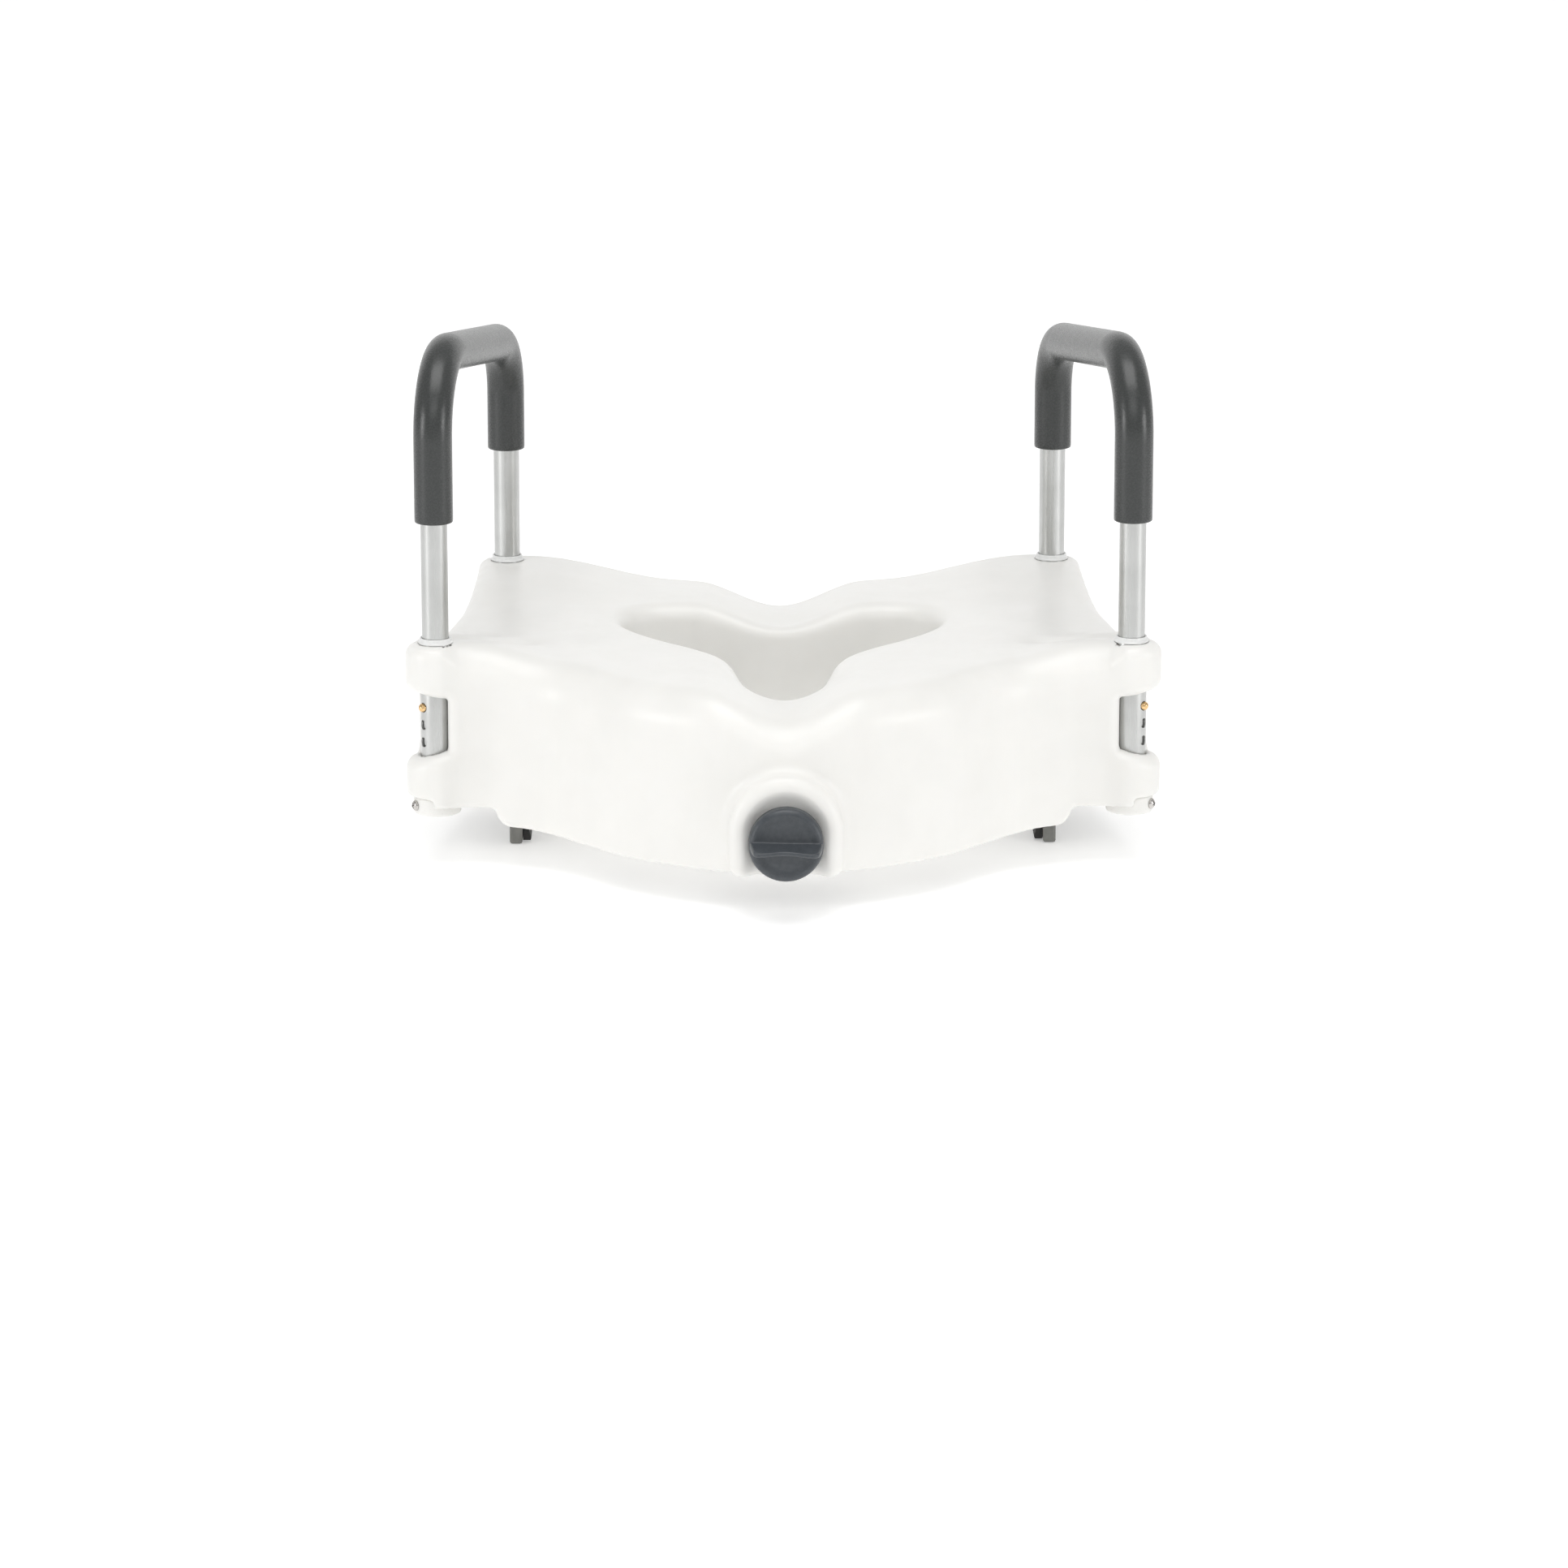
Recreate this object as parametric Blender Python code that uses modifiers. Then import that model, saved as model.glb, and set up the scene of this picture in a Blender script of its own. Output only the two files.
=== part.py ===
"""Raised toilet seat with two removable support arms.

A blow-moulded seat body carries four aluminium receiver tubes at its corners. Two bent
aluminium arms with foam grips slide into the receivers and lock with sprung brass buttons.
A knob at the front turns a screw that draws a clamp plate against the toilet bowl.

Units are metres, +Z is up and the front of the seat faces -Y. The pieces are modelled
around a datum on the line between the two front legs, level with the tops of the corner
bosses, and an empty puts that datum in its place: the origin is on the standing plane,
below the middle of the whole seat.
"""
from math import atan2, cos, pi, radians, sin, sqrt

import bmesh
import bpy
from mathutils import Matrix, Quaternion, Vector

# ---------------------------------------------------------------- driving dimensions
DATUM = (0.0, -0.05775, 0.1620)       # front leg line, top of the corner bosses
GAP = 0.0003                         # clearance between pieces that touch

# seat body, heights measured from the top of the corner bosses
SEAT_Z = -0.0108                     # general seating surface
WING_Z = -0.118                      # underside
SKIRT_Z = -0.136                     # lower edge of the front skirt
SKIRT_THICK = 0.0135
SKIRT_END_X = 0.2105                 # the skirt stops at this half width
SKIRT_RISE = 0.0045                  # its lower edge rises by this much on the way there
WALL = 0.0035                        # moulded wall around the hollow inside
LIP_R = 0.012                        # roll of the opening's lip
RAY_CENTRE = (0.0, 0.060)            # the body's sections fan out from here

# corner bosses and what they hold
FRONT_LEG = (0.2480, 0.0)
REAR_LEG = (0.2045, 0.272)
BOSS_R = 0.0215
WINDOW_TOP = -0.038
WINDOW_BOTTOM = -0.082
WINDOW_INSET = 0.0085                # the window reaches this far inboard of the leg's axis
LOWER_BOSS_Z = -0.111                # raised underside, outboard of the leg's axis
UNDERSIDE_OUTSET = 0.0025
RECEIVER_R = 0.0111
RECEIVER_WALL = 0.0012
RECEIVER_BORE_R = RECEIVER_R + GAP
RECEIVER_BOTTOM = -0.1205
COLLAR_R = 0.0170
COLLAR_BOTTOM = -0.1245
BUSH_HEIGHT = 0.0042
BUSH_BASE_R = 0.0123
BUSH_TOP_R = 0.0110

# arms
ARM_R = 0.009525
ARM_WALL = 0.0012
ARM_END = -0.076                     # lower end of the arm's legs
BAR_FRONT_Z = 0.2082                 # where the bar's line meets the front leg's line
BAR_REAR_Z = 0.1671
FRONT_BEND_R = 0.052
REAR_BEND_R = 0.045
GRIP_R = 0.01375
GRIP_WALL = 0.00375
GRIP_FRONT_Z = 0.088                 # lower ends of the foam grip
GRIP_REAR_Z = 0.0855

# snap buttons, which point outwards and a little to the front
BUTTON_Z = -0.046
HOLE_PITCH = 0.0127
HOLE_COUNT = 3
HOLE_R = 0.0035
BUTTON_R = 0.0031
BUTTON_TIP = 0.0143                  # from the leg's axis
BUTTON_FLANGE = 0.0063
BUTTON_ANGLE = radians(35.0)
SPRING_THICK = 0.0007
SPRING_WIDTH = 0.006

# collar screws
SCREW_ANGLE = radians(28.0)
SCREW_Z = -0.1175
SCREW_HEAD_R = 0.0039
SCREW_HEAD_HEIGHT = 0.0026
SCREW_R = 0.0013
CROSS_HALF = (0.0019, 0.0004)
CROSS_DEPTH = 0.0014

# knob and clamp on the centre line
KNOB_Z = -0.1085
KNOB_R = 0.0262
KNOB_BACK = -0.1473
KNOB_FACE = -0.1585
KNOB_SOCKET = 0.009
BLADE_FRONT = -0.1780
ARCH_FRONT = -0.1500                 # raised arch around the knob
ARCH_Z = -0.1015                     # centre of its round top
ARCH_HALF = 0.0400
RECESS_FLOOR = -0.1440               # the knob turns in a recess that is open below
RECESS_HALF = 0.0300
POCKET_FRONT = -0.1180
POCKET_BACK = -0.0690
POCKET_HALF = 0.0440
POCKET_TOP = -0.0900
SPINDLE_R = 0.0048
SPINDLE_END = -0.0740
BUSHING_R = 0.0075
PLATE_FRONT = -0.1120
PLATE_THICK = 0.0050
PLATE_HALF = 0.0400
PLATE_TOP = -0.0970
PLATE_BOTTOM = -0.1340
PLATE_BOW_R = 0.1900                 # the plate is curved to the bowl's front
HUB_HALF = 0.0130
NUT_R = 0.0086
NUT_HEIGHT = 0.0082
NUT_INSET = 0.0060
CLAMP_PAD_THICK = 0.003
CLAMP_PAD_TOP = -0.1215
CIRCLIP_R = 0.0080
CIRCLIP_THICK = 0.0009
WASHER_R = 0.0100
WASHER_THICK = 0.0010
PIN_X = 0.0290
PIN_R = 0.0030
PIN_SEAT = 0.0076
PIN_END = -0.0730

# side brackets that reach down beside the bowl
BRACKET_X = 0.1935
BRACKET_THICK = 0.0092
BRACKET_FRONT = 0.050
BRACKET_BACK = 0.150
BRACKET_BOTTOM = -0.1620
FLANGE_THICK = 0.0050
FLANGE_OUTER_X = 0.2240
BRACKET_SCREW_INSET = (0.011, 0.018)  # from the flange's outer edge, from the bracket's ends
BRACKET_SCREW_R = 0.0019
REST_PAD_R = 0.011
REST_PAD_HEIGHT = 0.0042
REST_PADS = {"front": (0.104, -0.038), "rear": (0.140, 0.205)}

# half outline of the body, front centre to rear centre: x, y, radius of the top edge
FRONT_EDGE = [
    (0.000, -0.1325, 0.026),
    (0.030, -0.1295, 0.026),
    (0.062, -0.1175, 0.026),
    (0.094, -0.0985, 0.026),
    (0.120, -0.0780, 0.026),
    (0.144, -0.0500, 0.026),
    (0.168, -0.0300, 0.026),
    (0.199, -0.0180, 0.026),
    (0.213, -0.0155, 0.025),
    (0.230, -0.0165, 0.022),
]
SIDE_EDGE = [
    (0.2615, 0.0300, 0.009),
    (0.2560, 0.0550, 0.013),
    (0.2490, 0.0900, 0.016),
    (0.2430, 0.1250, 0.016),
    (0.2365, 0.1660, 0.016),
    (0.2310, 0.2050, 0.015),
    (0.2275, 0.2400, 0.012),
]
REAR_EDGE = [
    (0.1800, 0.2925, 0.010),
    (0.1500, 0.2900, 0.015),
    (0.1100, 0.2865, 0.018),
    (0.0600, 0.2830, 0.018),
    (0.0300, 0.2790, 0.018),
    (0.0000, 0.2770, 0.018),
]
BOSS_EDGE_R = 0.008
FRONT_BOSS_ARC = (radians(-104), radians(32))
REAR_BOSS_ARC = (radians(-8), radians(97))

# half outline of the opening's wall, front centre to rear centre
OPENING_EDGE = [
    (0.000, -0.057),
    (0.014, -0.054),
    (0.023, -0.043),
    (0.030, -0.023),
    (0.036, 0.004),
    (0.044, 0.024),
    (0.060, 0.046),
    (0.082, 0.070),
    (0.101, 0.096),
    (0.113, 0.122),
    (0.116, 0.145),
    (0.109, 0.163),
    (0.093, 0.173),
    (0.072, 0.175),
    (0.049, 0.170),
    (0.025, 0.163),
    (0.000, 0.160),
]

SIDES = {"left": -1, "right": 1}
LEGS = {"front": FRONT_LEG, "rear": REAR_LEG}


# ---------------------------------------------------------------- scene helpers
def clear_scene():
    for old in list(bpy.data.objects):
        bpy.data.objects.remove(old, do_unlink=True)


def make_material(name, colour, roughness, metallic=0.0):
    mat = bpy.data.materials.new(name)
    mat.use_nodes = True
    shader = mat.node_tree.nodes["Principled BSDF"]
    shader.inputs["Base Color"].default_value = (*colour, 1.0)
    shader.inputs["Roughness"].default_value = roughness
    shader.inputs["Metallic"].default_value = metallic
    return mat


def add_object(name, mesh, material=None, location=(0, 0, 0), rotation=None, parent=None):
    obj = bpy.data.objects.new(name, mesh)
    obj.location = location
    if rotation is not None:
        obj.rotation_euler = rotation.to_euler()
    obj.parent = parent or DATUM_EMPTY
    if material is None:
        CUTTERS.objects.link(obj)
        obj.hide_render = True
        obj.display_type = "WIRE"
    else:
        PARTS.objects.link(obj)
        own = material.copy()
        own.name = name
        mesh.materials.append(own)
    return obj


def add_empty(name, location, parent=None):
    empty = bpy.data.objects.new(name, None)
    empty.location = location
    empty.parent = parent
    PARTS.objects.link(empty)
    return empty


def mesh_from_bmesh(name, bm, smooth=True):
    mesh = bpy.data.meshes.new(name)
    bmesh.ops.recalc_face_normals(bm, faces=bm.faces)
    bm.to_mesh(mesh)
    bm.free()
    if smooth:
        mesh.shade_smooth()
        mesh.set_sharp_from_angle(angle=radians(40))
    return mesh


def box_mesh(name, low, high):
    bm = bmesh.new()
    bmesh.ops.create_cube(bm, size=1.0)
    size = Vector(high) - Vector(low)
    middle = (Vector(high) + Vector(low)) / 2
    bmesh.ops.scale(bm, vec=size, verts=bm.verts)
    bmesh.ops.translate(bm, vec=middle, verts=bm.verts)
    return mesh_from_bmesh(name, bm, smooth=False)


def rod_mesh(name, radius, start, end, segments=24):
    """A cylinder along its own Z from start to end."""
    bm = bmesh.new()
    bmesh.ops.create_cone(
        bm, cap_ends=True, segments=segments, radius1=radius, radius2=radius, depth=end - start
    )
    bmesh.ops.translate(bm, vec=(0, 0, (start + end) / 2), verts=bm.verts)
    return mesh_from_bmesh(name, bm)


def extruded_mesh(name, outline, offset):
    """A flat outline of 3D points, drawn out along a vector into a solid."""
    bm = bmesh.new()
    face = bm.faces.new([bm.verts.new(point) for point in outline])
    moved = bmesh.ops.extrude_face_region(bm, geom=[face])
    verts = [item for item in moved["geom"] if isinstance(item, bmesh.types.BMVert)]
    bmesh.ops.translate(bm, vec=offset, verts=verts)
    return mesh_from_bmesh(name, bm)


def turned_mesh(name, profile):
    """The open or closed half section (radius, height) of a turned piece, as edges."""
    mesh = bpy.data.meshes.new(name)
    closed = min(r for r, _ in profile) > 0
    edges = [(i, i + 1) for i in range(len(profile) - 1)]
    if closed:
        edges.append((len(profile) - 1, 0))
    mesh.from_pydata([(r, 0, z) for r, z in profile], edges, [])
    return mesh


def add_turned(name, profile, material, segments=24, **placing):
    """A profile that runs down its outer side, turned about the object's own Z."""
    obj = add_object(name, turned_mesh(name, profile), material, **placing)
    screw = obj.modifiers.new("turn", "SCREW")
    screw.axis = "Z"
    screw.steps = segments
    screw.render_steps = segments
    screw.use_merge_vertices = True
    screw.merge_threshold = 0.00002
    screw.use_smooth_shade = True
    return obj


def boolean(obj, other, operation="DIFFERENCE"):
    mod = obj.modifiers.new(operation.lower(), "BOOLEAN")
    mod.operation = operation
    mod.solver = "EXACT"
    mod.object = other
    return mod


def bevel(obj, width, segments=2, angle=35):
    mod = obj.modifiers.new("round", "BEVEL")
    mod.width = width
    mod.segments = segments
    mod.limit_method = "ANGLE"
    mod.angle_limit = radians(angle)
    return mod


def cut_rod(target, name, radius, start, end, segments=24, **placing):
    cutter = add_object(name, rod_mesh(name, radius, start, end, segments), **placing)
    boolean(target, cutter)
    return cutter


def cut_box(target, name, low, high, **placing):
    cutter = add_object(name, box_mesh(name, low, high), **placing)
    boolean(target, cutter)
    return cutter


def outward(side):
    """Rotation that turns an object's +Z to a side's snap button direction."""
    direction = Vector((side * cos(BUTTON_ANGLE), -sin(BUTTON_ANGLE), 0))
    return direction.to_track_quat("Z", "Y")


ALONG_Y = Vector((0, 1, 0)).to_track_quat("Z", "Y")


# ---------------------------------------------------------------- seat body
def smooth_step(t):
    t = min(max(t, 0.0), 1.0)
    return t * t * (3 - 2 * t)


def spline(points, steps):
    """Points of a Catmull-Rom curve through the given ones, steps to each stretch."""
    padded = [points[0]] + list(points) + [points[-1]]
    result = []
    for i in range(1, len(padded) - 2):
        p0, p1, p2, p3 = (Vector(padded[i + k]) for k in (-1, 0, 1, 2))
        for step in range(steps):
            t = step / steps
            point = 2 * p1 + (p2 - p0) * t
            point += (2 * p0 - 5 * p1 + 4 * p2 - p3) * t * t
            point += (3 * p1 - p0 - 3 * p2 + p3) * t * t * t
            result.append(point / 2)
    result.append(Vector(points[-1]))
    return result


def arc_points(leg, arc, count):
    start, end = arc
    points = []
    for i in range(count):
        angle = start + (end - start) * i / (count - 1)
        points.append(
            (leg[0] + BOSS_R * cos(angle), leg[1] + BOSS_R * sin(angle), BOSS_EDGE_R)
        )
    return points


def outer_half():
    """Outline of the body from front centre to rear centre: x, y, top edge radius."""
    mirrored = (-FRONT_EDGE[1][0], *FRONT_EDGE[1][1:])
    front = spline([mirrored] + FRONT_EDGE, 2)[2:]
    points = [tuple(p) for p in front]
    points += arc_points(FRONT_LEG, FRONT_BOSS_ARC, 8)
    points += [tuple(p) for p in spline(SIDE_EDGE, 1)]
    points += arc_points(REAR_LEG, REAR_BOSS_ARC, 7)
    mirrored = (-REAR_EDGE[-2][0], *REAR_EDGE[-2][1:])
    points += [tuple(p) for p in spline(REAR_EDGE + [mirrored], 2)[:-2]]
    return points


def opening_by_angle():
    """The opening's wall as (angle, radius) about the centre of the sections."""
    table = []
    for p in spline([(x, y, 0) for x, y in OPENING_EDGE], 6):
        dx = p[0] - RAY_CENTRE[0]
        dy = p[1] - RAY_CENTRE[1]
        table.append((atan2(dy, dx), sqrt(dx * dx + dy * dy)))
    return table


def opening_point(angle, table):
    """Point on the opening's wall in the given direction."""
    low = table[0]
    for high in table[1:]:
        if high[0] >= angle:
            break
        low = high
    span = high[0] - low[0]
    share = 0.0 if span <= 0 else min(max((angle - low[0]) / span, 0.0), 1.0)
    radius = low[1] + (high[1] - low[1]) * share
    return Vector(
        (RAY_CENTRE[0] + radius * cos(angle), RAY_CENTRE[1] + radius * sin(angle))
    )


def top_height(x, y):
    """Height of the seating surface: dished, up to the bosses, down in both notches."""
    across = abs(x)
    to_front_leg = sqrt((across - FRONT_LEG[0]) ** 2 + (y - FRONT_LEG[1]) ** 2)
    to_rear_leg = sqrt((across - REAR_LEG[0]) ** 2 + (y - REAR_LEG[1]) ** 2)
    front_boss = smooth_step(1 - (to_front_leg - 0.019) / 0.070)
    rear_boss = smooth_step(1 - (to_rear_leg - 0.024) / 0.100)
    z = SEAT_Z * (1 - max(front_boss, rear_boss))
    z -= 0.0075 * smooth_step((y - 0.19) / 0.09) * (1 - smooth_step(across / 0.17))
    ramp = smooth_step((0.010 - y) / 0.060)
    depth = 0.013 + 0.007 * smooth_step((-y - 0.066) / 0.060)
    z -= depth * ramp * (1 - smooth_step(across / 0.056))
    ramp = smooth_step((y - 0.125) / 0.055)
    z -= 0.016 * ramp * (1 - smooth_step(across / 0.062))
    return z


def skirt_height(x, y):
    """Lower edge of the outer wall at a point of the outline."""
    if y > 0.0 or abs(x) > SKIRT_END_X:
        return WING_Z
    rise = SKIRT_RISE * smooth_step((abs(x) - 0.140) / 0.055)
    ends = smooth_step((SKIRT_END_X - abs(x)) / 0.011)
    return WING_Z + (SKIRT_Z + rise - WING_Z) * ends


def section(outer, inner, edge_r, inset):
    """Closed loop of points of one section, inset all round for the plainer hollow."""
    edge_steps, lip_steps, flat_steps = (2, 2, 3) if inset else (3, 2, 4)
    width = (inner - outer).length
    along = (inner - outer) / width
    bottom = WING_Z + inset
    skirt = bottom if inset else skirt_height(outer.x, outer.y)
    edge_r = max(edge_r - inset, 0.003)
    lip_r = max(LIP_R - inset, 0.003)
    start = inset
    end = width - inset
    corner = 0.003 if inset else 0.004

    def place(distance, z):
        flat = outer + along * distance
        return (flat.x, flat.y, z)

    def top(distance):
        flat = outer + along * distance
        return top_height(flat.x, flat.y) - inset

    loop = [place(start + corner, skirt), place(start, skirt + corner)]
    crown = top(start + edge_r)
    for k in range(edge_steps + 1):
        angle = k * pi / 2 / edge_steps
        loop.append(
            place(start + edge_r * (1 - cos(angle)), crown - edge_r * (1 - sin(angle)))
        )
    flat_length = end - lip_r - start - edge_r
    for k in range(1, flat_steps):
        distance = start + edge_r + flat_length * k / flat_steps
        loop.append(place(distance, top(distance)))
    crown = top(end - lip_r)
    for k in range(lip_steps + 1):
        angle = pi / 2 - k * pi / 2 / lip_steps
        loop.append(
            place(end - lip_r * (1 - cos(angle)), crown - lip_r * (1 - sin(angle)))
        )
    loop += [place(end, bottom + corner), place(end - corner, bottom)]
    if not inset:
        loop.append(place(start + SKIRT_THICK + 0.003, bottom))
        loop.append(place(start + SKIRT_THICK, skirt))
    return loop


def body_mesh(name, inset):
    """Ring of sections from the front centre round both sides to the rear centre."""
    half = outer_half()
    table = opening_by_angle()
    angles = []
    for x, y, _ in half:
        angle = atan2(y - RAY_CENTRE[1], x - RAY_CENTRE[0])
        if angles:
            angle = max(angle, angles[-1] + 0.004)
        angles.append(angle)
    angles[-1] = pi / 2
    stations = []
    for (x, y, edge_r), angle in zip(half, angles):
        stations.append((Vector((x, y)), opening_point(angle, table), edge_r))
    if inset:
        stations = stations[:-1:2] + stations[-1:]
    mirrored = []
    for outer, inner, edge_r in reversed(stations[1:-1]):
        mirrored.append((Vector((-outer.x, outer.y)), Vector((-inner.x, inner.y)), edge_r))
    bm = bmesh.new()
    rings = []
    for outer, inner, edge_r in stations + mirrored:
        loop = section(outer, inner, edge_r, inset)
        rings.append([bm.verts.new(point) for point in loop])
    for ring, following in zip(rings, rings[1:] + rings[:1]):
        for k in range(len(ring)):
            j = (k + 1) % len(ring)
            bm.faces.new((ring[k], following[k], following[j], ring[j]))
    return mesh_from_bmesh(name, bm)


def window_box(leg, grow):
    """Low and high corners, on the +X side, of the window through one corner."""
    front = leg is FRONT_LEG
    low_y = leg[1] - (0.060 if front else 0.0245)
    high_y = leg[1] + (0.0235 if front else 0.060)
    low = (leg[0] - WINDOW_INSET - grow, low_y - grow, WINDOW_BOTTOM - grow)
    high = (leg[0] + 0.060, high_y + grow, WINDOW_TOP + grow)
    return low, high


def mirrored_box(low, high, side):
    xs = sorted((side * low[0], side * high[0]))
    return (xs[0], low[1], low[2]), (xs[1], high[1], high[2])


def cut_corners(body, tag, grow):
    """Window, collar seat and raised underside of the boss at each corner."""
    for end, leg in LEGS.items():
        for side_name, side in SIDES.items():
            name = f"{tag}_{end}_{side_name}"
            low, high = mirrored_box(*window_box(leg, grow), side)
            window = cut_box(body, f"{name}_window", low, high)
            bevel(window, 0.004, 1)
            place = (side * leg[0], leg[1], 0)
            cut_rod(
                body, f"{name}_collar_seat", COLLAR_R + GAP + grow, WING_Z - 0.02,
                LOWER_BOSS_Z + grow, 28, location=place,
            )
            low = (leg[0] + UNDERSIDE_OUTSET - grow, leg[1] - 0.05, WING_Z - 0.02)
            high = (leg[0] + 0.05, leg[1] + 0.0225 + grow, LOWER_BOSS_Z + grow)
            low, high = mirrored_box(low, high, side)
            cut_box(body, f"{name}_underside", low, high)


def arch_mesh(name, half, foot, front, back):
    """A solid along Y with a round top around the knob and straight sides below it."""
    outline = [(half, front, foot)]
    for k in range(17):
        angle = pi * k / 16
        outline.append((half * cos(angle), front, ARCH_Z + half * sin(angle)))
    outline.append((-half, front, foot))
    return extruded_mesh(name, outline, (0, back - front, 0))


def make_seat_shell():
    shell = add_object("seat_shell", body_mesh("seat_shell", 0.0), WHITE)
    arch_size = (ARCH_HALF, SKIRT_Z + 0.0015, ARCH_FRONT, ARCH_FRONT + 0.034)
    arch = add_object("knob_arch", arch_mesh("knob_arch", *arch_size))
    bevel(arch, 0.007, 3)
    boolean(shell, arch, "UNION")
    cut_corners(shell, "outside", 0.0)
    hollow = add_object("hollow", body_mesh("hollow", WALL))
    cut_corners(hollow, "inside", WALL)
    low = (-POCKET_HALF - WALL, -0.14, SKIRT_Z)
    high = (POCKET_HALF + WALL, POCKET_BACK + WALL, POCKET_TOP + WALL)
    cut_box(hollow, "inside_pocket", low, high)
    boolean(shell, hollow)
    for cut in [*hollow.modifiers, shell.modifiers[-1]]:
        cut.solver = "MANIFOLD"          # the exact solver loses the hollow at its last corner
    low = (-POCKET_HALF, POCKET_FRONT, SKIRT_Z - 0.02)
    high = (POCKET_HALF, POCKET_BACK, POCKET_TOP)
    pocket = cut_box(shell, "pocket", low, high)
    bevel(pocket, 0.005, 2)
    recess_size = (RECESS_HALF, SKIRT_Z - 0.02, ARCH_FRONT - 0.02, RECESS_FLOOR)
    boolean(shell, add_object("knob_recess", arch_mesh("knob_recess", *recess_size)))
    knob_place = {"location": (0, 0, KNOB_Z), "rotation": ALONG_Y}
    cut_rod(shell, "bushing_seat", BUSHING_R + GAP, ARCH_FRONT, POCKET_FRONT + 0.01, **knob_place)
    for side_name, side in SIDES.items():
        place = (side * PIN_X, 0, KNOB_Z)
        cut_rod(
            shell, f"pin_seat_{side_name}", PIN_R + GAP, POCKET_FRONT - PIN_SEAT - GAP,
            POCKET_FRONT + 0.01, 16, location=place, rotation=ALONG_Y,
        )
        for end, leg in LEGS.items():
            place = (side * leg[0], leg[1], 0)
            cut_rod(
                shell, f"bore_{end}_{side_name}", RECEIVER_BORE_R, -0.20, 0.05, 28,
                location=place, rotation=Matrix.Rotation(radians(3.7), 3, "Z"),
            )
        for end, y in bracket_screw_ys().items():
            place = (side * bracket_screw_x(), y, 0)
            cut_rod(
                shell, f"bracket_hole_{end}_{side_name}", BRACKET_SCREW_R + 0.0004, WING_Z - 0.01,
                WING_Z + 0.02, 12, location=place,
            )
    return shell


# ---------------------------------------------------------------- corner hardware
def make_receiver(tag, side, place):
    """Receiver tube with its row of button holes, and the bushing in its mouth."""
    inner_r = RECEIVER_R - RECEIVER_WALL
    receiver = add_turned(
        f"receiver_tube_{tag}",
        [(inner_r, 0), (RECEIVER_R, 0), (RECEIVER_R, RECEIVER_BOTTOM), (inner_r, RECEIVER_BOTTOM)],
        ALUMINIUM, location=place,
    )
    for k in range(HOLE_COUNT):
        hole_place = (*place[:2], BUTTON_Z - k * HOLE_PITCH)
        cut_rod(
            receiver, f"receiver_hole_{tag}_{k}", HOLE_R, 0.004, 0.020, 16,
            location=hole_place, rotation=outward(side),
        )
    bore = ARM_R + GAP
    add_turned(
        f"top_bushing_{tag}",
        [
            (bore, BUSH_HEIGHT),
            (BUSH_TOP_R, BUSH_HEIGHT),
            (BUSH_TOP_R + 0.0003, BUSH_HEIGHT - 0.0006),
            (BUSH_BASE_R, GAP + 0.0008),
            (BUSH_BASE_R, GAP),
            (bore, GAP),
        ],
        NYLON, location=place,
    )
    return receiver


def make_collar(tag, side, place, receiver):
    """Collar that closes a receiver from below, and the cross-head screw through both."""
    bore = RECEIVER_R + GAP
    collar = add_turned(
        f"socket_collar_{tag}",
        [
            (0.0, RECEIVER_BOTTOM - GAP),
            (bore, RECEIVER_BOTTOM - GAP),
            (bore, LOWER_BOSS_Z - GAP),
            (COLLAR_R, LOWER_BOSS_Z - GAP),
            (COLLAR_R, COLLAR_BOTTOM + 0.0022),
            (COLLAR_R - 0.0007, COLLAR_BOTTOM + 0.0007),
            (COLLAR_R - 0.0022, COLLAR_BOTTOM),
            (0.0, COLLAR_BOTTOM),
        ],
        WHITE, location=place,
    )
    screw_place = (*place[:2], SCREW_Z)
    direction = Vector((side * cos(SCREW_ANGLE), -sin(SCREW_ANGLE), 0))
    turn = direction.to_track_quat("Z", "Y")
    for pierced, radius in ((collar, SCREW_R + 0.0004), (receiver, SCREW_R + 0.0006)):
        cut_rod(
            pierced, f"screw_hole_{pierced.name}", radius, 0.005, 0.03, 12,
            location=screw_place, rotation=turn,
        )
    head = COLLAR_R + 0.0001
    top = head + SCREW_HEAD_HEIGHT
    tip = RECEIVER_R - RECEIVER_WALL + 0.0001
    screw = add_turned(
        f"collar_screw_{tag}",
        [
            (0.0, top),
            (SCREW_HEAD_R * 0.50, top - 0.0002),
            (SCREW_HEAD_R * 0.86, top - 0.0011),
            (SCREW_HEAD_R, head + 0.0004),
            (SCREW_HEAD_R, head),
            (SCREW_R, head),
            (SCREW_R, tip),
            (0.0, tip),
        ],
        STEEL, 20, location=screw_place, rotation=turn,
    )
    long, thin = CROSS_HALF
    for quarter in range(2):
        cut_box(
            screw, f"cross_slot_{tag}_{quarter}", (-long, -thin, top - CROSS_DEPTH),
            (long, thin, top + CROSS_DEPTH), location=screw_place,
            rotation=turn @ Quaternion((0, 0, 1), quarter * pi / 2),
        )


def make_corner(end, leg, side_name, side):
    tag = f"{end}_{side_name}"
    place = (side * leg[0], leg[1], 0)
    receiver = make_receiver(tag, side, place)
    make_collar(tag, side, place, receiver)


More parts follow.
